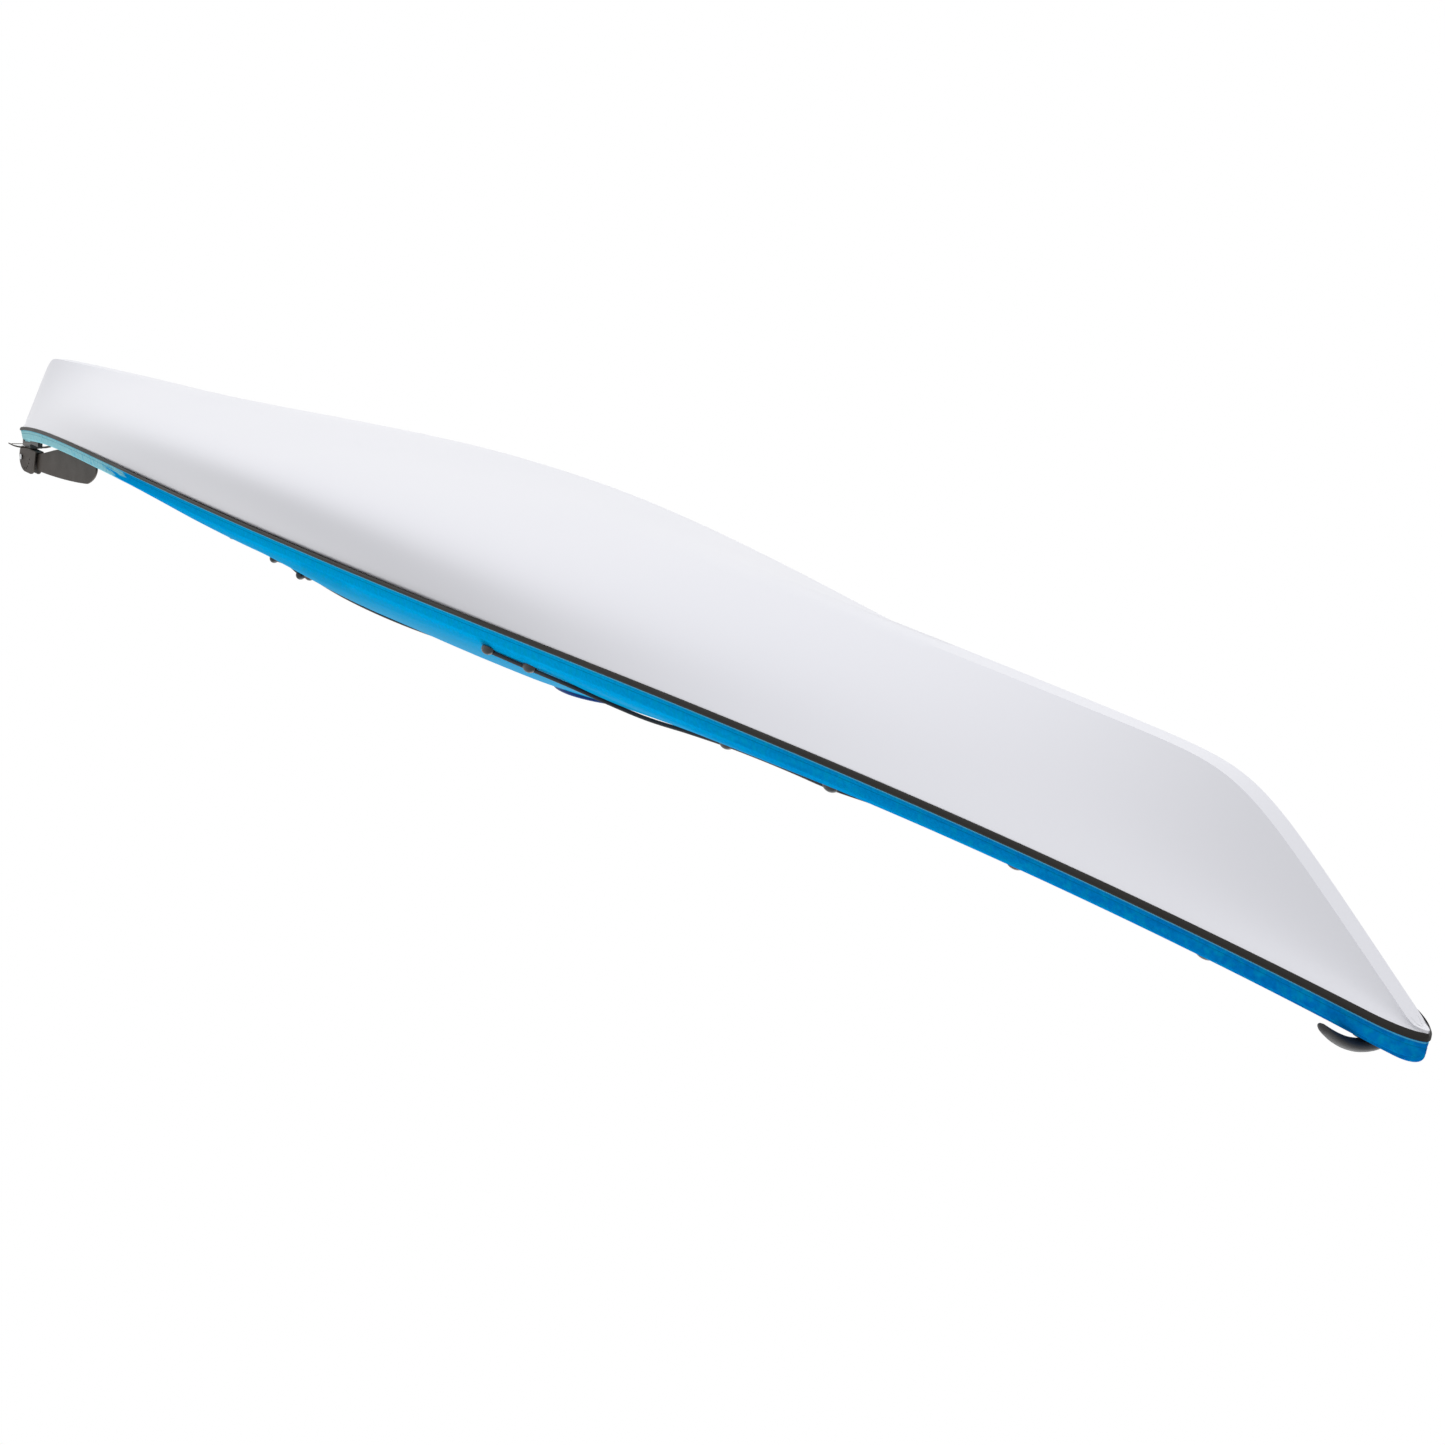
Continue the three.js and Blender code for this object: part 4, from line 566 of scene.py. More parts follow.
cockpit = {
    "x": 0.042, "halfLength": 0.395, "halfWidth": 0.164, "taper": 0.1,
    "collarWall": 0.0035, "collarDepth": 0.015, "rise": 0.0055, "lip": 0.016, "lipThick": 0.003,
    "round": 0.0022, "sides": 180, "sharp": 50,
}
hatches = {
    "rear_hatch": {"x": -1.270, "halfLength": 0.205, "halfWidth": 0.112, "sink": 0.010},
    "day_hatch": {"x": 0.700, "halfLength": 0.112, "halfWidth": 0.084, "sink": 0.019},
    "front_hatch": {"x": 1.3299, "halfLength": 0.140, "halfWidth": 0.080, "sink": 0.014},
}
hatchFit = {
    "sides": 96, "sharp": 50, "gap": 0.0003, "ledge": 0.014, "flange": 0.003,
    "collar": 0.003, "collarDepth": 0.012, "rimRound": 0.0012,
    "seal": 0.004, "sealHeight": 0.0034, "sealRound": 0.0015,
    "recess": 0.0146, "recessDepth": 0.016, "followTurns": 3,  # turns that bring its edge onto the deck
    "recessOut": 0.0015,  # how far its outer wall stays under the deck
    "recessEdge": [(0.0034, -0.0001), (0.0022, 0), (0.0010, 0.0004), (0.0003, 0.0011), (0, 0.0021)],
    "recessFoot": [(0, 0.0012), (-0.0003, 0.0004), (-0.001, 0)],  # out from the wall, over the ledge
}
cuts = {
    "sides": 160, "cockpitRoom": 0.0003, "cockpitLow": 0.1, "cockpitHigh": 0.4,
    "hatchRoom": 0.003, "hatchReach": 0.05,
}
deckShape = {
    # shares of the half width, from the corner to the middle
    "across": [0.965, 0.94, 0.91, 0.875, 0.835, 0.79, 0.745, 0.7, 0.65, 0.6, 0.55, 0.5, 0.45, 0.4, 0.35,
               0.3, 0.25, 0.2, 0.15, 0.1, 0.05, 0],
    "band": (0, 0.2, 0.4, 0.52, 0.58, 0.64, 0.82),  # shares of the band's height
    "creaseAt": 0.58, "crease": 0.0006, "creaseWidth": 0.04, "cornerSteps": 4,
}


def cockpitPoint(angle, reach):
    x = cockpit["x"] + (cockpit["halfLength"] + reach) * math.cos(angle)
    y = (cockpit["halfWidth"] + reach) * math.sin(angle) * (1 - cockpit["taper"] * math.cos(angle))
    return x, y


def coamingHeight(angle):
    return deckTop(*cockpitPoint(angle, cockpit["lip"] / 2))


def hatchMatrix(hatch):
    fore = deckTop(hatch["x"] + hatch["halfLength"], 0)
    aft = deckTop(hatch["x"] - hatch["halfLength"], 0)
    pitch = -math.atan2(fore - aft, 2 * hatch["halfLength"])
    middle = max(deckTop(hatch["x"], 0), (fore + aft) / 2) - hatch["sink"]
    return Matrix.Translation((hatch["x"], 0, middle)) @ Matrix.Rotation(pitch, 4, "Y")


hatchMatrices = {name: hatchMatrix(hatch) for name, hatch in hatches.items()}


def ellipsePoint(hatch, angle, reach, z):
    x = (hatch["halfLength"] + reach) * math.cos(angle)
    return Vector((x, (hatch["halfWidth"] + reach) * math.sin(angle), z))


def makeCutter(name, ring, low, high, matrix=Matrix()):
    mesh = loftMesh(name, [[Vector((x, y, z)) for x, y in ring] for z in (low, high)])
    mesh.transform(matrix)
    return linked(name, mesh)


def recessMesh(name, hatch, matrix):
    # Walls and ledge that a hatch sits on, with a rounded upper edge that follows the deck
    f = hatchFit
    wall = lines["wall"]
    edge = f["recess"]
    down = matrix.inverted()

    def surface(angle, reach, sink):
        flat = ellipsePoint(hatch, angle, reach, 0)
        spot = matrix @ flat
        for turn in range(f["followTurns"]):
            onDeck = down @ Vector((spot.x, spot.y, deckTop(spot.x, spot.y)))
            spot = matrix @ Vector((flat.x, flat.y, onDeck.z))
        return Vector((flat.x, flat.y, (down @ spot).z - sink))

    rings = []
    for angle in turnsOf(f["sides"]):
        ring = [ellipsePoint(hatch, angle, edge + wall, -f["recessDepth"])]
        ring += [surface(angle, edge + wall, f["recessOut"])]
        ring += [surface(angle, edge + out, sink) for out, sink in f["recessEdge"]]
        ring += [ellipsePoint(hatch, angle, edge + out, z) for out, z in f["recessFoot"]]
        ring += [ellipsePoint(hatch, angle, out, z)
                 for out, z in ((0, 0), (0, -wall), (edge, -wall), (edge, -f["recessDepth"]))]
        rings.append(ring)
    mesh = loftMesh(name, rings, closedLoft=True)
    mesh.transform(matrix)
    return mesh


def deckRing(x):
    shape = deckShape
    seamY = seamHalfWidth(x)
    edge = deckHalfWidth(x)
    low = seamHeight(x) + lines["seamGap"]
    top = bandTop(x)
    corner = min(lines["bandCorner"], edge / 3)
    half = []
    for share in shape["band"]:
        crease = shape["crease"] * bellAt(share - shape["creaseAt"], shape["creaseWidth"])
        half.append((seamY + (edge - seamY) * share - crease, low + (top - corner - low) * share))
    for step in range(shape["cornerSteps"] + 1):
        angle = step / shape["cornerSteps"] * math.pi / 2
        half.append((edge - corner + corner * math.cos(angle), top - corner + corner * math.sin(angle)))
    for share in shape["across"]:
        y = share * (edge - corner)
        half.append((y, deckTop(x, y)))
    return [Vector((x, y, z)) for y, z in half] + [Vector((x, -y, z)) for y, z in reversed(half[:-1])]


def makeDeck():
    mesh = loftMesh("deckSkin", [deckRing(x) for x in stations(skin["deckStations"])], closedRing=False)
    deck = newObject("deckSkin", mesh, deckBlue, "deck_shell")
    addWall(deck)
    turns = turnsOf(cuts["sides"])
    mouth = [cockpitPoint(a, cockpit["collarWall"] + cuts["cockpitRoom"]) for a in turns]
    cutters = [makeCutter("cockpitCut", mouth, cuts["cockpitLow"], cuts["cockpitHigh"])]
    for name, hatch in hatches.items():
        reach = hatchFit["recess"] + cuts["hatchRoom"]
        ring = [ellipsePoint(hatch, a, reach, 0).xy for a in turns]
        cutters.append(makeCutter(name + "Cut", ring, -cuts["hatchReach"], cuts["hatchReach"],
                                  hatchMatrices[name]))
    for cutter in cutters:
        cut = deck.modifiers.new("opening", "BOOLEAN")
        cut.object = cutter
        cut.operation = "DIFFERENCE"
        cut.solver = "EXACT"
    graph = bpy.context.evaluated_depsgraph_get()
    opened = bpy.data.meshes.new_from_object(deck.evaluated_get(graph))
    deck.modifiers.clear()
    deck.data = opened
    for cutter in cutters:
        bpy.data.objects.remove(cutter)
    gathered(opened, [recessMesh(name + "Recess", hatch, hatchMatrices[name])
                      for name, hatch in hatches.items()])
    opened.set_sharp_from_angle(angle=math.radians(skin["deckSharp"]))


makeDeck()
print("stage: deck")

# Seam strip: a rubbing band with a soft bead, lying over both edges

strip = {
    "gap": 0.0003, "ease": 0.0002, "height": 0.008, "thick": 0.002, "web": 0.0014, "depth": 0.0044,
    "webInside": 0.00125, "endThick": 0.0002, "thinFrom": 0.1,  # thins over the last 0.1 m at both ends
    "leanIn": 0.5, "leanOut": 0.8,  # shares of its half height by which the lower edge follows the hull
    "bead": 0.25, "shoulder": 0.45, "shoulderPower": 8,  # shares of its thickness
    "steps": 8, "hullSteps": 24, "sharp": 40,
}


def stripLean(x, half):
    for y, z in reversed(hullHalf(x, strip["hullSteps"])):
        if seamHeight(x) - z >= half:
            return max(min(y - seamHalfWidth(x), half * strip["leanOut"]), -half * strip["leanIn"])
    return 0.0


def stripSection(x):
    # Outline as reach from the seam line and height over it
    half = strip["height"] / 2
    web = strip["web"] / 2
    lean = stripLean(x, half)
    base = strip["gap"] + strip["ease"]
    thin = min((lines["half"] - abs(x)) / strip["thinFrom"], 1)
    thick = strip["endThick"] + (strip["thick"] - strip["endThick"]) * thin
    depth = min(strip["depth"], seamHalfWidth(x) / 2 + strip["webInside"])
    outer = []
    for step in range(strip["steps"] + 1):
        t = step / strip["steps"]
        rise = -half + 2 * half * t
        bead = strip["bead"] * math.sin(math.pi * t)
        shoulder = strip["shoulder"] * (2 * t - 1) ** strip["shoulderPower"]
        outer.append((base + lean * max(-rise / half, 0) + thick + thick * (bead - shoulder), rise))
    return [(-depth, -web), (strip["gap"], -web), (base + lean, -half)] + outer + [
        (base, half), (strip["gap"], web), (-depth, web)]


def makeStrip():
    sides = [(x, seamHalfWidth(x)) for x in stations(skin["hullStations"])]
    loop = [(-lines["half"], 0)] + sides + [(lines["half"], 0)] + [(x, -y) for x, y in reversed(sides)]
    rings = []
    for i, (x, y) in enumerate(loop):
        bx, by = loop[i - 1]
        ax, ay = loop[(i + 1) % len(loop)]
        first = Vector((by - y, x - bx)).normalized()
        second = Vector((y - ay, ax - x)).normalized()
        out = (first + second) / (1 + first.dot(second))
        ring = []
        for reach, rise in stripSection(x):
            px = x + out.x * reach
            ring.append(Vector((px, y + out.y * reach, seamHeight(px) + rise)))
        rings.append(ring)
    mesh = loftMesh("seamBand", rings, closedLoft=True)
    newObject("seamBand", mesh, seamCharcoal, "seam_strip", sharp=strip["sharp"])


makeStrip()
print("stage: seam")

# Coaming with a rolled lip

cornerRoom = 2.2  # a rounded corner takes up less than half of either side


def roundedProfile(corners, radius, steps=3):
    # Closed outline with each corner rounded by up to the radius
    out = []
    for i, corner in enumerate(corners):
        here = Vector(corner)
        before = Vector(corners[i - 1])
        after = Vector(corners[(i + 1) % len(corners)])
        cutBack = min(radius, (before - here).length / cornerRoom, (after - here).length / cornerRoom)
        start = here + (before - here).normalized() * cutBack
        end = here + (after - here).normalized() * cutBack
        for step in range(steps + 1):
            t = step / steps
            out.append((1 - t) ** 2 * start + 2 * t * (1 - t) * here + t * t * end)
    return [(point.x, point.y) for point in out]


def makeCoaming():
    c = cockpit
    lipTop = c["rise"] + c["lipThick"]
    corners = [(0, -c["collarDepth"]), (c["collarWall"], -c["collarDepth"]), (c["collarWall"], c["rise"]),
               (c["lip"], c["rise"]), (c["lip"], lipTop), (0, lipTop)]
    profile = roundedProfile(corners, c["round"])
    rings = []
    for angle in turnsOf(c["sides"]):
        height = coamingHeight(angle)
        rings.append([Vector((*cockpitPoint(angle, reach), height + rise)) for reach, rise in profile])
    mesh = loftMesh("coamingRing", rings, closedLoft=True)
    newObject("coamingRing", mesh, blackPlastic, "cockpit_coaming", sharp=c["sharp"])


makeCoaming()

# Hatch rims, seals and covers

cover = {
    "height": 0.014, "wall": 0.0035, "inset": 0.003, "edgeIn": 0.0006, "edgeUp": 0.0008,
    "side": 0.45, "shoulder": 0.006, "shoulderRise": 0.27, "shoulderSteps": 6,  # shares of the height
    "dome": [
        # share of the way from shoulder to middle, share of the height
        (0.02, 0.74), (0.035, 0.745), (0.05, 0.70), (0.08, 0.66), (0.12, 0.68), (0.2, 0.76), (0.35, 0.86),
        (0.55, 0.94), (0.8, 0.99), (0.93, 1.0),
    ],
}


def hoopMesh(name, hatch, profile, **closing):
    rings = [[ellipsePoint(hatch, angle, reach, z) for reach, z in profile]
             for angle in turnsOf(hatchFit["sides"])]
    return loftMesh(name, rings, closedLoft=True, **closing)


def coverProfile(hatch, skirt, low, sealTop):
    # From the skirt's inner foot over the shoulder to the middle of the dome
    height = cover["height"]
    outer = skirt + cover["wall"]
    profile = [(skirt, sealTop + hatchFit["gap"]), (skirt, low), (outer - cover["edgeIn"], low),
               (outer, low + cover["edgeUp"]), (outer, low + cover["side"] * height)]
    for step in range(1, cover["shoulderSteps"] + 1):
        angle = step / cover["shoulderSteps"] * math.pi / 2
        reach = outer - cover["shoulder"] + cover["shoulder"] * math.cos(angle)
        profile.append((reach, low + (cover["side"] + cover["shoulderRise"] * math.sin(angle)) * height))
    start = profile[-1][0]
    for share, level in cover["dome"]:
        profile.append((start - share * (hatch["halfWidth"] + start), low + level * height))
    return profile


def makeHatch(name, hatch):
    f = hatchFit
    inner = -f["gap"] - f["collar"]
    rimTop = f["gap"] + f["flange"]
    sealLow = rimTop + f["gap"]
    sealTop = sealLow + f["sealHeight"]
    skirt = f["ledge"] - cover["inset"] - cover["wall"]
    sealOut = skirt - f["gap"]
    sealIn = sealOut - f["seal"]
    rimCorners = [(inner, -f["collarDepth"]), (-f["gap"], -f["collarDepth"]), (-f["gap"], f["gap"]),
                  (f["ledge"], f["gap"]), (f["ledge"], rimTop), (inner, rimTop)]
    sealCorners = [(sealIn, sealLow), (sealOut, sealLow), (sealOut, sealTop), (sealIn, sealTop)]
    rim = hoopMesh(name + "_ring", hatch, roundedProfile(rimCorners, f["rimRound"]))
    seal = hoopMesh(name + "_gasket", hatch, roundedProfile(sealCorners, f["sealRound"]))
    lid = hoopMesh(name + "_lid", hatch, coverProfile(hatch, skirt, sealLow, sealTop),
                   closedRing=False, poles=True)
    for mesh in (rim, seal, lid):
        mesh.transform(hatchMatrices[name])
    newObject(name + "_ring", rim, blackPlastic, name + "_rim", sharp=f["sharp"])
    newObject(name + "_gasket", seal, blackRubber, name + "_seal")
    newObject(name + "_lid", lid, coverNavy, name + "_cover", name.replace("_hatch", "_cover"), f["sharp"])


for hatchName, hatchSizes in hatches.items():
    makeHatch(hatchName, hatchSizes)
print("stage: hatches")

# Seat, backrest and thigh braces

seat = {
    "x": -0.095, "length": 0.390, "halfWidth": 0.186, "narrow": 0.12, "base": 0.024, "side": 0.072,
    "rear": 0.026, "front": 0.030,
}
seatAft = seat["x"] - seat["length"] / 2
cushion = {
    "aft": 0.13, "length": 0.330, "half": 0.150, "thick": 0.020, "crown": 0.007, "lift": 0.0006,
    "fill": 0.9, "rows": 48, "columns": 56, "square": 10,
    "edge": 0.3,  # share of the thickness that stays at the edge
    "waist": 0.05, "taper": 0.1, "aftWidth": 0.86,
    "channel": 0.0035, "channelStep": 0.05, "channelWidth": 0.004,
}
back = {
    "hingeX": seatAft + 0.009, "hingeZ": lines["wall"] + seat["base"] + 0.058, "height": 0.105,
    "half": 0.118, "curve": 0.042, "shell": 0.004, "pad": 0.022, "pin": 0.003, "lift": 0.0006, "fill": 0.9,
    "rows": 28, "columns": 48, "square": 8, "firm": 0.4,  # share of the pad that stays at its edge
    "roundTop": 0.22, "roundFoot": 0.4,  # shares of the height by which the wings' corners draw in
    "foot": 0.45, "footRise": 2.5,  # the foot is thin, so that it clears the seat when folded
    "rib": 0.003, "ribs": 4, "ribWidth": 0.09,
}


def panTop(along, across):
    rear = seat["rear"] * max(1 - along * 4, 0) ** 2
    front = seat["front"] * max(along * 2 - 1, 0) ** 2
    return lines["wall"] + seat["base"] + seat["side"] * abs(across) ** 4 + rear + front


def panWidth(along):
    return seat["halfWidth"] * (1 - seat["narrow"] * along ** 2)


def cushionColumn(x, along, share):
    # Points on top of and under the cushion
    c = cushion
    middle = 1 - (2 * along - 1) ** 2
    panShare = (x - seatAft) / seat["length"]
    drawn = 1 - c["waist"] * middle - c["taper"] * along ** 4
    y = share * c["half"] * drawn * min(1, c["aftWidth"] + along)
    bottom = panTop(panShare, y / panWidth(panShare)) + c["lift"]
    edge = min(1 - share ** c["square"], 1 - (2 * along - 1) ** c["square"])
    plump = c["thick"] * (c["edge"] + (1 - c["edge"]) * math.sqrt(max(edge, 0)))
    crown = c["crown"] * (1 - share ** 2) * middle
    channel = c["channel"] * bellAt(y % c["channelStep"] - c["channelStep"] / 2, c["channelWidth"]) * edge
    return Vector((x, y, bottom + plump + crown - channel)), Vector((x, y, bottom))


def backColumn(share, level):
    # Points on the front and the rear of the backrest's pad
    b = back
    upper = b["height"] * b["roundTop"] * share ** 4
    lower = b["height"] * b["roundFoot"] * share ** 4
    z = b["hingeZ"] + 3 * b["pin"] + lower + (b["height"] - lower - upper) * level
    x = b["hingeX"] + b["pin"] + b["shell"] + b["lift"] + b["curve"] * share ** 2
    edge = min(1 - share ** b["square"], 1 - (2 * level - 1) ** b["square"])
    foot = b["foot"] + (1 - b["foot"]) * min(level * b["footRise"], 1)
    plump = foot * b["pad"] * (b["firm"] + (1 - b["firm"]) * math.sqrt(max(edge, 0)))
    groove = b["rib"] * bellAt((level * b["ribs"]) % 1 - 0.5, b["ribWidth"]) * edge
    return Vector((x + plump - groove, share * b["half"], z)), Vector((x, share * b["half"], z))


def padRing(columns):
    return [front for front, rear in columns] + [rear for front, rear in reversed(columns)]


def makePads():
    rows, columns = cushion["rows"], cushion["columns"]
    aft = seatAft + seat["length"] * cushion["aft"]
    rings = []
    for r in range(rows + 1):
        along = r / rows
        x = aft + cushion["length"] * along
        rings.append(padRing([cushionColumn(x, along, 2 * c / columns - 1) for c in range(columns + 1)]))
    seatPad = newObject("cushionPad", loftMesh("cushionPad", rings), foamGrey, "seat_cushion")
    rows, columns = back["rows"], back["columns"]
    rings = [padRing([backColumn(2 * c / columns - 1, r / rows) for r in range(rows + 1)])
             for c in range(columns + 1)]
    mesh = loftMesh("backrestPad", rings)
    backPad = newObject("backrestPad", mesh, foamGrey, "backrest_pad", "backrest")


makePads()
refined("backrest_shell", "backrestShell", blackPlastic, "backrest", 0.0012)
refined("seat_pan", "seatFrame", blackPlastic, "hull", 0.0008)

brace = {
    "tabOut": -0.0003, "tab": 0.004, "tabFoot": 0.006, "round": 0.0015, "roundSteps": 2, "sharp": 45,
    "pad": [(-0.024, -0.0238), (-0.048, -0.036), (-0.048, -0.032), (-0.024, -0.0198)],
    "from": 0.1, "sweep": 0.1, "steps": 30,  # turns round the cockpit
    "tip": 0.35, "swell": 6, "fixed": 0.002,  # the pad's reach grows from its tip's share
}


def makeBrace(side, name, node):
    tabOut = brace["tabOut"]
    tabIn = tabOut - brace["tab"]
    corners = [(tabOut, cockpit["rise"] / 2), (tabOut, -cockpit["collarDepth"] - brace["tabFoot"])]
    corners += brace["pad"] + [(tabIn, -cockpit["collarDepth"]), (tabIn, cockpit["rise"] / 2)]
    profile = roundedProfile(corners, brace["round"], brace["roundSteps"])
    rings = []
    for step in range(brace["steps"] + 1):
        t = step / brace["steps"]
        angle = side * (brace["from"] + brace["sweep"] * t) * 2 * math.pi
        swell = min(1, brace["swell"] * t, brace["swell"] * (1 - t)) ** 0.5
        grown = brace["tip"] + (1 - brace["tip"]) * swell
        ring = []
        for reach, rise in profile:
            deep = reach if reach > tabIn - brace["fixed"] else tabIn + (reach - tabIn) * grown
            ring.append(Vector((*cockpitPoint(angle, deep), coamingHeight(angle) + rise)))
        rings.append(ring)
    newObject(name, loftMesh(name, rings), blackPlastic, node, sharp=brace["sharp"])


makeBrace(1, "bracePort", "thigh_brace_port")
makeBrace(-1, "braceStarboard", "thigh_brace_starboard")
print("stage: cockpit fittings")

# Rudder blade with a hub and rounded edges

rudder = {
    "pivotX": -2.300, "pivotZ": 0.312, "length": 0.546, "thick": 0.005, "rise": 0.020, "chord": 0.086,
    "hub": 0.018, "hubHalf": 0.007, "hubSides": 48, "hubChamfer": 0.0008, "edge": 0.0016, "edgeSegments": 3,
    "neck": 0.095,  # from the pivot to the end of the cheek plates
    "curveSteps": 12, "heelFrom": 0.34, "heelSteps": 13,
}


def bladeOutline():
    tip, root, rise, chord, neck = [rudder[key] for key in ("length", "hub", "rise", "chord", "neck")]
    outline = [(0, -root * 0.98), (root, -root * 1.1), (neck * 1.1, -root * 1.15)]
    curves = [
        # control point and end of each curve, from the neck round the tip and back
        ((tip * 0.3, -root * 1.8), (tip * 0.42, rise - chord * 0.78)),
        ((tip * 0.6, rise - chord * 1.02), (tip * 0.86, rise - chord)),
        ((tip * 1.005, rise - chord), (tip, rise - chord * 0.72)),
        ((tip * 0.985, -rise * 0.95), (tip * 0.88, -rise * 0.1)),
        ((tip * 0.6, rise * 0.72), (neck * 1.25, rise)),
        ((neck * 1.08, rise), (neck, rise * 0.3)),
    ]
    for control, end in curves:
        start = outline[-1]
        for i in range(rudder["curveSteps"]):
            t = (i + 1) / rudder["curveSteps"]
            outline.append(tuple((1 - t) ** 2 * a + 2 * t * (1 - t) * b + t * t * c
                                 for a, b, c in zip(start, control, end)))
    outline.append((root, root * 0.33))
    heel = rudder["heelFrom"]
    for i in range(rudder["heelSteps"]):
        angle = heel + (math.pi * 1.5 - heel) * i / rudder["heelSteps"]
        outline.append((root * math.cos(angle), root * math.sin(angle)))
    return outline


def aroundPivot(name, levels):
    # Loft across the boat from outlines and their places, drawn around the pivot
    return loftMesh(name, [[Vector((rudder["pivotX"] + x, y, rudder["pivotZ"] + z)) for x, z in outline]
                           for outline, y in levels])


def makeBlade():
    half, hubHalf, chamfer = rudder["thick"] / 2, rudder["hubHalf"], rudder["hubChamfer"]
    wide, narrow = [[(r * math.cos(a), r * math.sin(a)) for a in turnsOf(rudder["hubSides"])]
                    for r in (rudder["hub"], rudder["hub"] - chamfer)]
    sheet = aroundPivot("bladeSheet", [(bladeOutline(), -half), (bladeOutline(), half)])
    hub = aroundPivot("bladeHub", [(narrow, -hubHalf), (wide, chamfer - hubHalf), (wide, hubHalf - chamfer),
                                   (narrow, hubHalf)])
    blade = joined("bladePlate", [sheet, hub], rudderGrey, "rudder_blade", "blade")
    bevelled(blade, rudder["edge"], rudder["edgeSegments"])


makeBlade()

# Pieces whose solids are fine as they are, but for their edges

singlePieces = [
    # node of the part, piece, material, body, bevel
    ("cheek_plate_port", "cheek_port", rudderGrey, "rudder_head", 0.0008),
    ("cheek_plate_starboard", "cheek_starboard", rudderGrey, "rudder_head", 0.0008),
    ("rudder_yoke", "yokeBar", rudderGrey, "rudder_head", 0.0007),
    ("rudder_spacer", "headSpacer", blackPlastic, "rudder_head", 0.0006),
    ("rudder_pintle", "headPintle", brightSteel, "rudder_head", 0.0004),
    ("blade_pivot_bolt", "pivotBolt", brightSteel, "rudder_head", 0.0008),
    ("rudder_mount", "mountBlock", blackPlastic, "hull", 0.0012),
    ("rudder_rest", "restPad", blackRubber, "hull", 0.002),
]
innerPieces = [
    ("day_pod_tub", "podTub", blackPlastic, "hull", 0.001),
    ("rear_bulkhead", "bulkheadRear", innerWhite, "hull", 0.0006),
    ("front_bulkhead", "bulkheadFront", innerWhite, "hull", 0.0006),
    ("backrest_pin", "backrestPin", brightSteel, "hull", 0.0004),
]
tubeFlat = 1  # degrees under which the facets of a thin tube merge
for piece in singlePieces:
    refined(*piece)
for sideName in ("port", "starboard"):
    refined("rudder_cable_" + sideName, "wire_" + sideName, wireGrey, sideName + "_cable", 0)
    refined("cable_tube_" + sideName, "tube_" + sideName, blackPlastic, "hull", 0.0004, tubeFlat)
    refined("pedal_cable_" + sideName, "pedalWire_" + sideName, wireGrey, sideName + "_pedal", 0)
    refined("foot_rail_" + sideName, "rail_" + sideName, rudderGrey, "hull", 0.0006)
    refined("foot_pedal_" + sideName, "pedal_" + sideName, blackPlastic, sideName + "_pedal", 0.0015)
for piece in innerPieces:
    refined(*piece)
print("stage: rudder")

# Carry handles: a drooping grip on a base

handle = {
    "bowX": 2.225, "sternX": -1.660,
    "half": 0.062, "droop": 0.024, "sweep": 0.008, "width": 0.010, "thick": 0.007, "rise": 0.010,
    "slim": 0.45, "slimPower": 5, "droopPower": 2.2, "clear": 0.002, "baseEdge": 0.0008,
    "tip": 0.07, "tipLeast": 0.02, "steps": 60, "sides": 20,  # the tip rounds off over its last 7%
}


def makeHandle(x, name, node, base, baseName):
    h = handle
    gripZ = deckTop(x, 0) + h["rise"]
    reach = min(h["half"], seamHalfWidth(x))
    room = gripZ - h["thick"] - deckTop(x, reach) - h["clear"]
    droop = h["droop"] if reach < h["half"] else min(h["droop"], room)
    rings = []
    for step in range(h["steps"] + 1):
        share = 2 * step / h["steps"] - 1
        slim = 1 - h["slim"] * abs(share) ** h["slimPower"]
        pastTip = abs(share) - (1 - h["tip"])
        if pastTip > 0:
            slim *= math.sqrt(max(1 - (pastTip / h["tip"]) ** 2, h["tipLeast"]))
        centre = Vector((x - h["sweep"] * share ** 2, h["half"] * share,
                         gripZ - droop * abs(share) ** h["droopPower"]))
        rings.append([centre + Vector((h["width"] * slim * math.cos(a), 0, h["thick"] * slim * math.sin(a)))
                      for a in turnsOf(h["sides"])])
    newObject(name, loftMesh(name, rings), blackRubber, node)
    refined(base, baseName, blackPlastic, "hull", h["baseEdge"])


makeHandle(handle["bowX"], "bowGrip", "bow_handle", "bow_handle_base", "bowGripBase")
makeHandle(handle["sternX"], "sternGrip", "stern_handle", "stern_handle_base", "sternGripBase")

# Deck lines: taut cord through low saddle fittings, with round beads on the rear bungee

cord = {"radius": 0.003, "lift": 0.001, "sides": 12, "steps": 15}
saddle = {"length": 0.034, "width": 0.015, "height": 0.010, "levels": 10, "sides": 24}
bead = {"size": 0.008, "boreRoom": 0.0002, "aim": 0.01, "steps": 18, "sides": 32}  # aims along the cord
frontLine = [
    # place along the hull, share of the half width, held by a saddle
    (0.725, 0.93, 1), (0.825, 0.89, 1), (0.9, 0.85, 0), (0.98, 0.55, 0), (1.06, 0.42, 0), (1.15, 0.42, 1),
    (1.25, 0.46, 0), (1.33, 0.51, 0), (1.42, 0.58, 1), (1.5, 0.51, 0), (1.6, 0.53, 0), (1.75, 0.58, 1),
    (1.9, 0.55, 0), (2.02, 0.42, 1),
]
rearLeg = [
    (-0.6, 0.3, 1), (-0.53, 0.5, 0), (-0.465, 0.63, 1), (-0.351, 0.6, 1), (-0.244, 0.638, 0),
    (-0.15, 0.68, 0), (-0.073, 0.708, 0), (-0.045, 0.7, 1),
]
beadSpots = [rearLeg[4], rearLeg[6]]
cordAbove = cord["radius"] + cord["lift"]


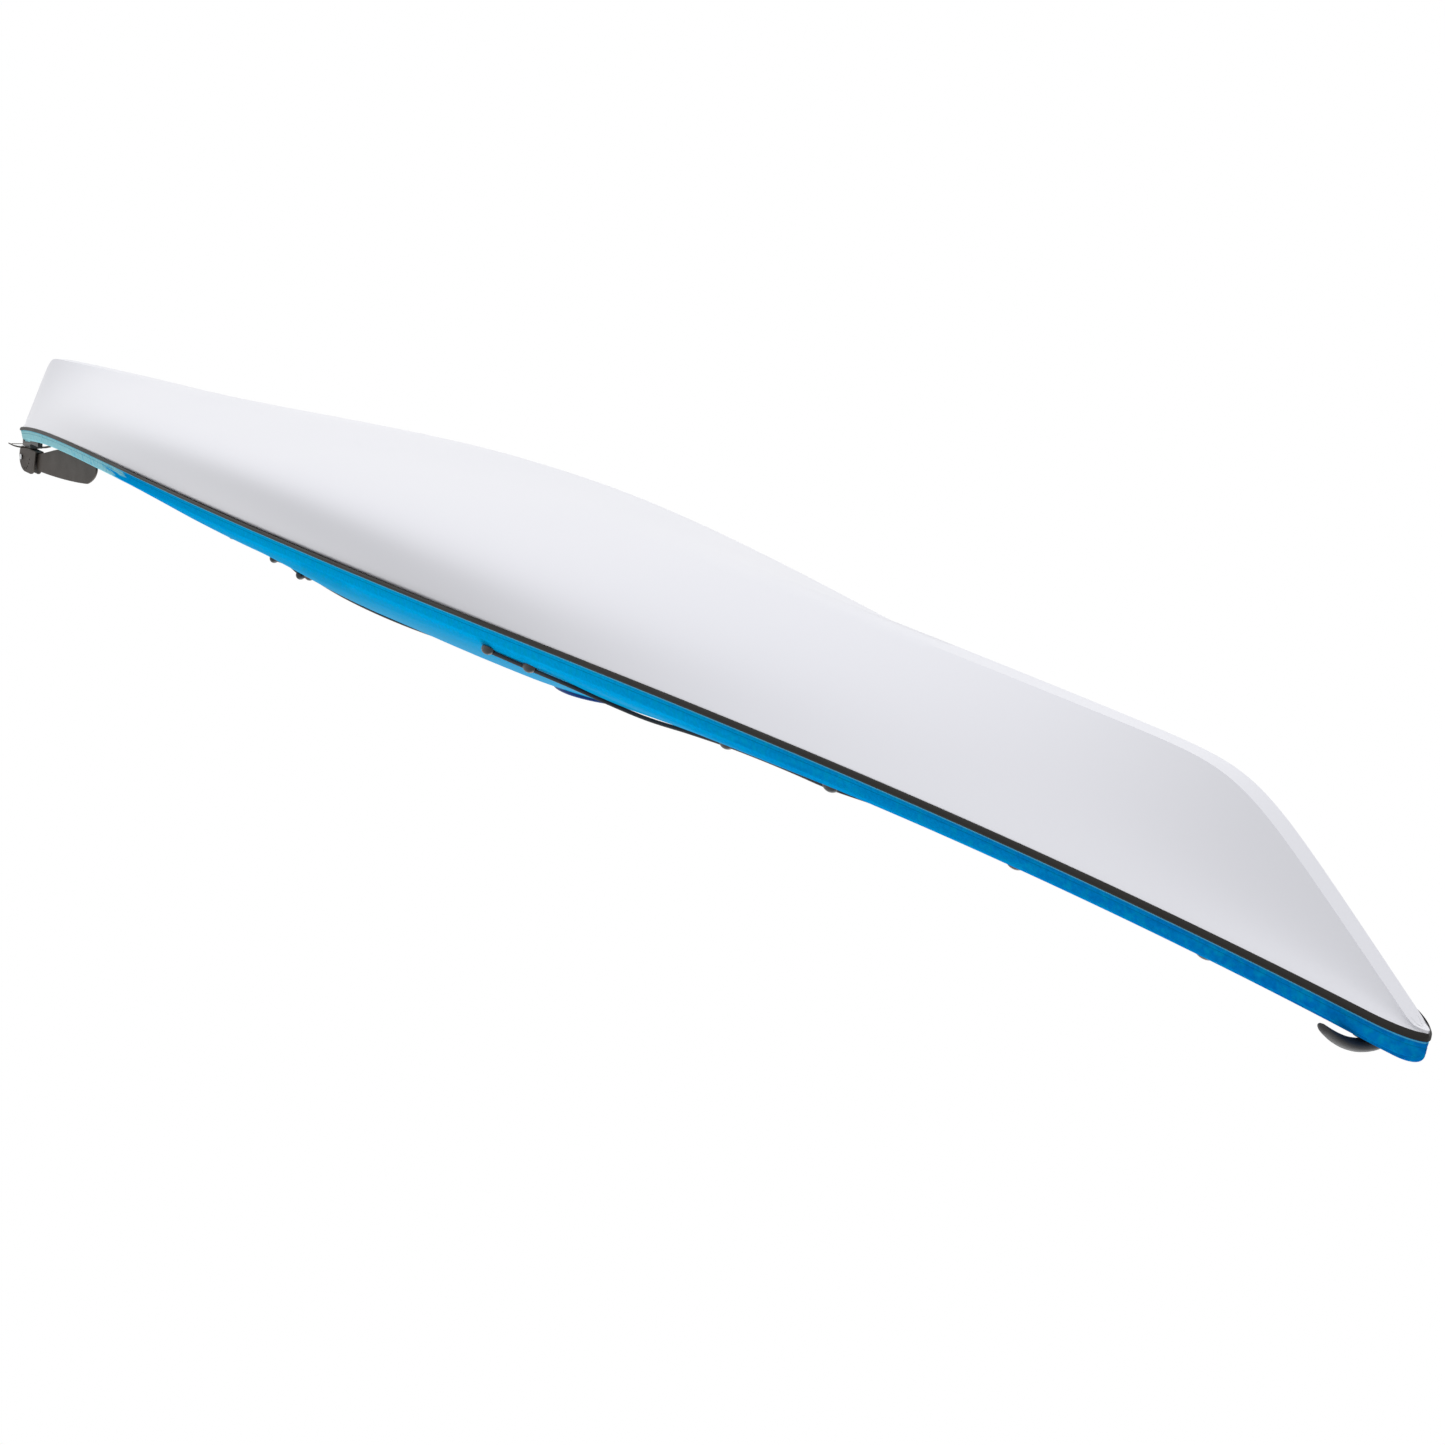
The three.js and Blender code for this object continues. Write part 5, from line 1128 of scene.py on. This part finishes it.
def sweepMesh(name, points):
    # Smooth tube along points
    radius, steps = cord["radius"], cord["steps"]
    dense = []
    count = len(points)
    for i in range(count - 1):
        p0 = points[max(i - 1, 0)]
        p1, p2 = points[i], points[i + 1]
        p3 = points[min(i + 2, count - 1)]
        for s in range(steps):
            t = s / steps
            dense.append(0.5 * ((2 * p1) + (p2 - p0) * t + (2 * p0 - 5 * p1 + 4 * p2 - p3) * t * t
                                + (3 * p1 - p0 - 3 * p2 + p3) * t ** 3))
    dense.append(points[-1])
    rings = []
    for i, point in enumerate(dense):
        along = (dense[min(i + 1, len(dense) - 1)] - dense[max(i - 1, 0)]).normalized()
        side = along.cross(Vector((0, 0, 1))).normalized()
        up = side.cross(along)
        rings.append([point + radius * (math.cos(a) * side + math.sin(a) * up)
                      for a in turnsOf(cord["sides"])])
    return loftMesh(name, rings)


def settle(mesh, at, axis, along):
    # Turns the mesh's own axis along the given direction and moves it to its place
    turn = Vector(axis).rotation_difference(along)
    mesh.transform(Matrix.Translation(at) @ turn.to_matrix().to_4x4())
    return mesh


def saddleMesh(name, x, share):
    at = deckPoint(x, share, 0)
    length, width, height = saddle["length"] / 2, saddle["width"] / 2, saddle["height"]
    rings = []
    for r in range(saddle["levels"]):
        angle = r / saddle["levels"] * math.pi / 2
        rings.append([Vector((length * math.cos(angle) * math.cos(a), width * math.cos(angle) * math.sin(a),
                              height * math.sin(angle))) for a in turnsOf(saddle["sides"])])
    return settle(loftMesh(name, rings), at, (0, 0, 1), deckNormal(x, at.y))


def makeRigging(name, node, routes, beads=()):
    meshes, saddles = [], []
    for route in routes:
        points = [deckPoint(spot[0], spot[1], bead["size"] if spot in beads else cordAbove)
                  for spot in route]
        meshes.append(sweepMesh(name + "Cord", points))
        saddles += [saddleMesh(name + "Saddle", x, share) for x, share, held in route if held]
    joined(name, meshes, cordBlack, node)
    joined(name + "Fittings", saddles, blackPlastic, None)


def onSide(route, side):
    return [(x, side * share, held) for x, share, held in route]


def makeBead(x, share, name, node):
    # Round bead, flattened a little at the two mouths of its bore, threaded on the cord
    size = bead["size"]
    bore = cord["radius"] + bead["boreRoom"]
    at = deckPoint(x, share, 0)
    at = at + deckNormal(x, at.y) * size
    ahead = deckPoint(x + bead["aim"], share, cordAbove) - deckPoint(x - bead["aim"], share, cordAbove)
    rings = []
    for step in range(bead["steps"] + 1):
        angle = -math.pi / 2 + step / bead["steps"] * math.pi
        reach = max(size * math.cos(angle), bore)
        rise = size * math.sin(angle)
        if reach == bore:
            rise = math.copysign(math.sqrt(size ** 2 - reach ** 2), rise)
        rings.append([Vector((rise, reach * math.cos(a), reach * math.sin(a)))
                      for a in turnsOf(bead["sides"])])
    mesh = settle(loftMesh(name, rings), at, (1, 0, 0), ahead.normalized())
    newObject(name, mesh, blackPlastic, node)


for sideName, side in (("port", 1), ("starboard", -1)):
    makeRigging("deckLine_" + sideName, "perimeter_line_" + sideName, [onSide(frontLine, side)])
    for index, (x, share, held) in enumerate(onSide(beadSpots, side)):
        makeBead(x, share, f"bead_{sideName}_{index + 1}", f"bungee_bead_{sideName}_{index + 1}")
acrossLeg = [(rearLeg[0][0], rearLeg[0][1] * share, 0) for share in (1, 0.5, 0, -0.5, -1)]
makeRigging("rearBungee", "rear_bungee", [onSide(rearLeg, 1), onSide(rearLeg, -1), acrossLeg],
            onSide(beadSpots, 1) + onSide(beadSpots, -1))
print("stage: rigging")

# Floor that shows from above only, and soft studio light

stage = {"floorHalf": 45.0, "floor": (240, 240, 241), "rough": 0.85}
light = {
    "bright": 1.24, "dim": 0.16, "away": (0.41, 0.0, 0.912),  # brightest from below and astern
    "boxes": [
        # name, place, target, width, height, power
        ("keyBox", (1.2, 2.2, -4.2), (0.3, 0.0, 0.1), 4.6, 1.6, 10.0),
        ("topBox", (-0.4, -1.2, 3.8), (0.0, 0.0, 0.2), 4.6, 2.2, 30.0),
    ],
    "sky": {"strength": 1.7, "angle": 70.0, "tilt": (0.3, 0.0, 0.2)},
}


def makeFloor():
    half = stage["floorHalf"]
    mesh = bpy.data.meshes.new("floor")
    mesh.from_pydata([(-half, -half, 0), (half, -half, 0), (half, half, 0), (-half, half, 0)], [],
                     [(0, 1, 2, 3)])
    floor = linked("floor", mesh)
    material = bpy.data.materials.new("floorPaper")
    material.use_nodes = True
    tree = material.node_tree
    shader = tree.nodes["Principled BSDF"]
    feed(shader, {"Base Color": linearColour(*stage["floor"]), "Roughness": stage["rough"]})
    hidden = addNode(tree, "ShaderNodeNewGeometry").outputs["Backfacing"]
    byCamera = addNode(tree, "ShaderNodeLightPath").outputs["Is Camera Ray"]
    seen = maths(tree, "MULTIPLY", maths(tree, "SUBTRACT", 1.0, hidden), byCamera)
    clear = addNode(tree, "ShaderNodeBsdfTransparent")
    pick = addNode(tree, "ShaderNodeMixShader",
                   {0: seen, 1: clear.outputs["BSDF"], 2: shader.outputs["BSDF"]})
    feed(tree.nodes["Material Output"], {"Surface": pick.outputs["Shader"]})
    floor.data.materials.append(material)


def makeWorld():
    # White where it is seen or mirrored, and a slanted gradient for the light itself
    world = bpy.data.worlds.new("studio")
    world.use_nodes = True
    tree = world.node_tree
    white = (1, 1, 1, 1)
    backdrop = tree.nodes["Background"]
    feed(backdrop, {"Color": white, "Strength": 1.0})
    direction = addNode(tree, "ShaderNodeTexCoord").outputs["Generated"]
    facing = addNode(tree, "ShaderNodeVectorMath", {0: direction, 1: light["away"]},
                     operation="DOT_PRODUCT")
    level = ranged(tree, facing.outputs["Value"], -1.0, 1, light["bright"], light["dim"])
    soft = addNode(tree, "ShaderNodeBackground", {"Color": white, "Strength": level})
    path = addNode(tree, "ShaderNodeLightPath").outputs
    seen = maths(tree, "MAXIMUM", path["Is Camera Ray"], path["Is Glossy Ray"])
    seen = maths(tree, "MAXIMUM", seen, path["Is Transmission Ray"])
    mix = addNode(tree, "ShaderNodeMixShader",
                  {0: seen, 1: soft.outputs["Background"], 2: backdrop.outputs["Background"]})
    feed(tree.nodes["World Output"], {"Surface": mix.outputs["Shader"]})
    bpy.context.scene.world = world


def addLamp(name, kind, power):
    data = bpy.data.lights.new(name, kind)
    data.energy = power
    return data, linked(name, data)


makeFloor()
makeWorld()
for name, spot, target, width, height, power in light["boxes"]:
    data, lamp = addLamp(name, "AREA", power)
    data.shape = "RECTANGLE"
    data.size = width
    data.size_y = height
    lamp.location = spot
    lamp.rotation_euler = (Vector(target) - Vector(spot)).to_track_quat("-Z", "Y").to_euler()
data, lamp = addLamp("skyPanel", "SUN", light["sky"]["strength"])
data.angle = math.radians(light["sky"]["angle"])
lamp.rotation_euler = light["sky"]["tilt"]
print("stage: light")
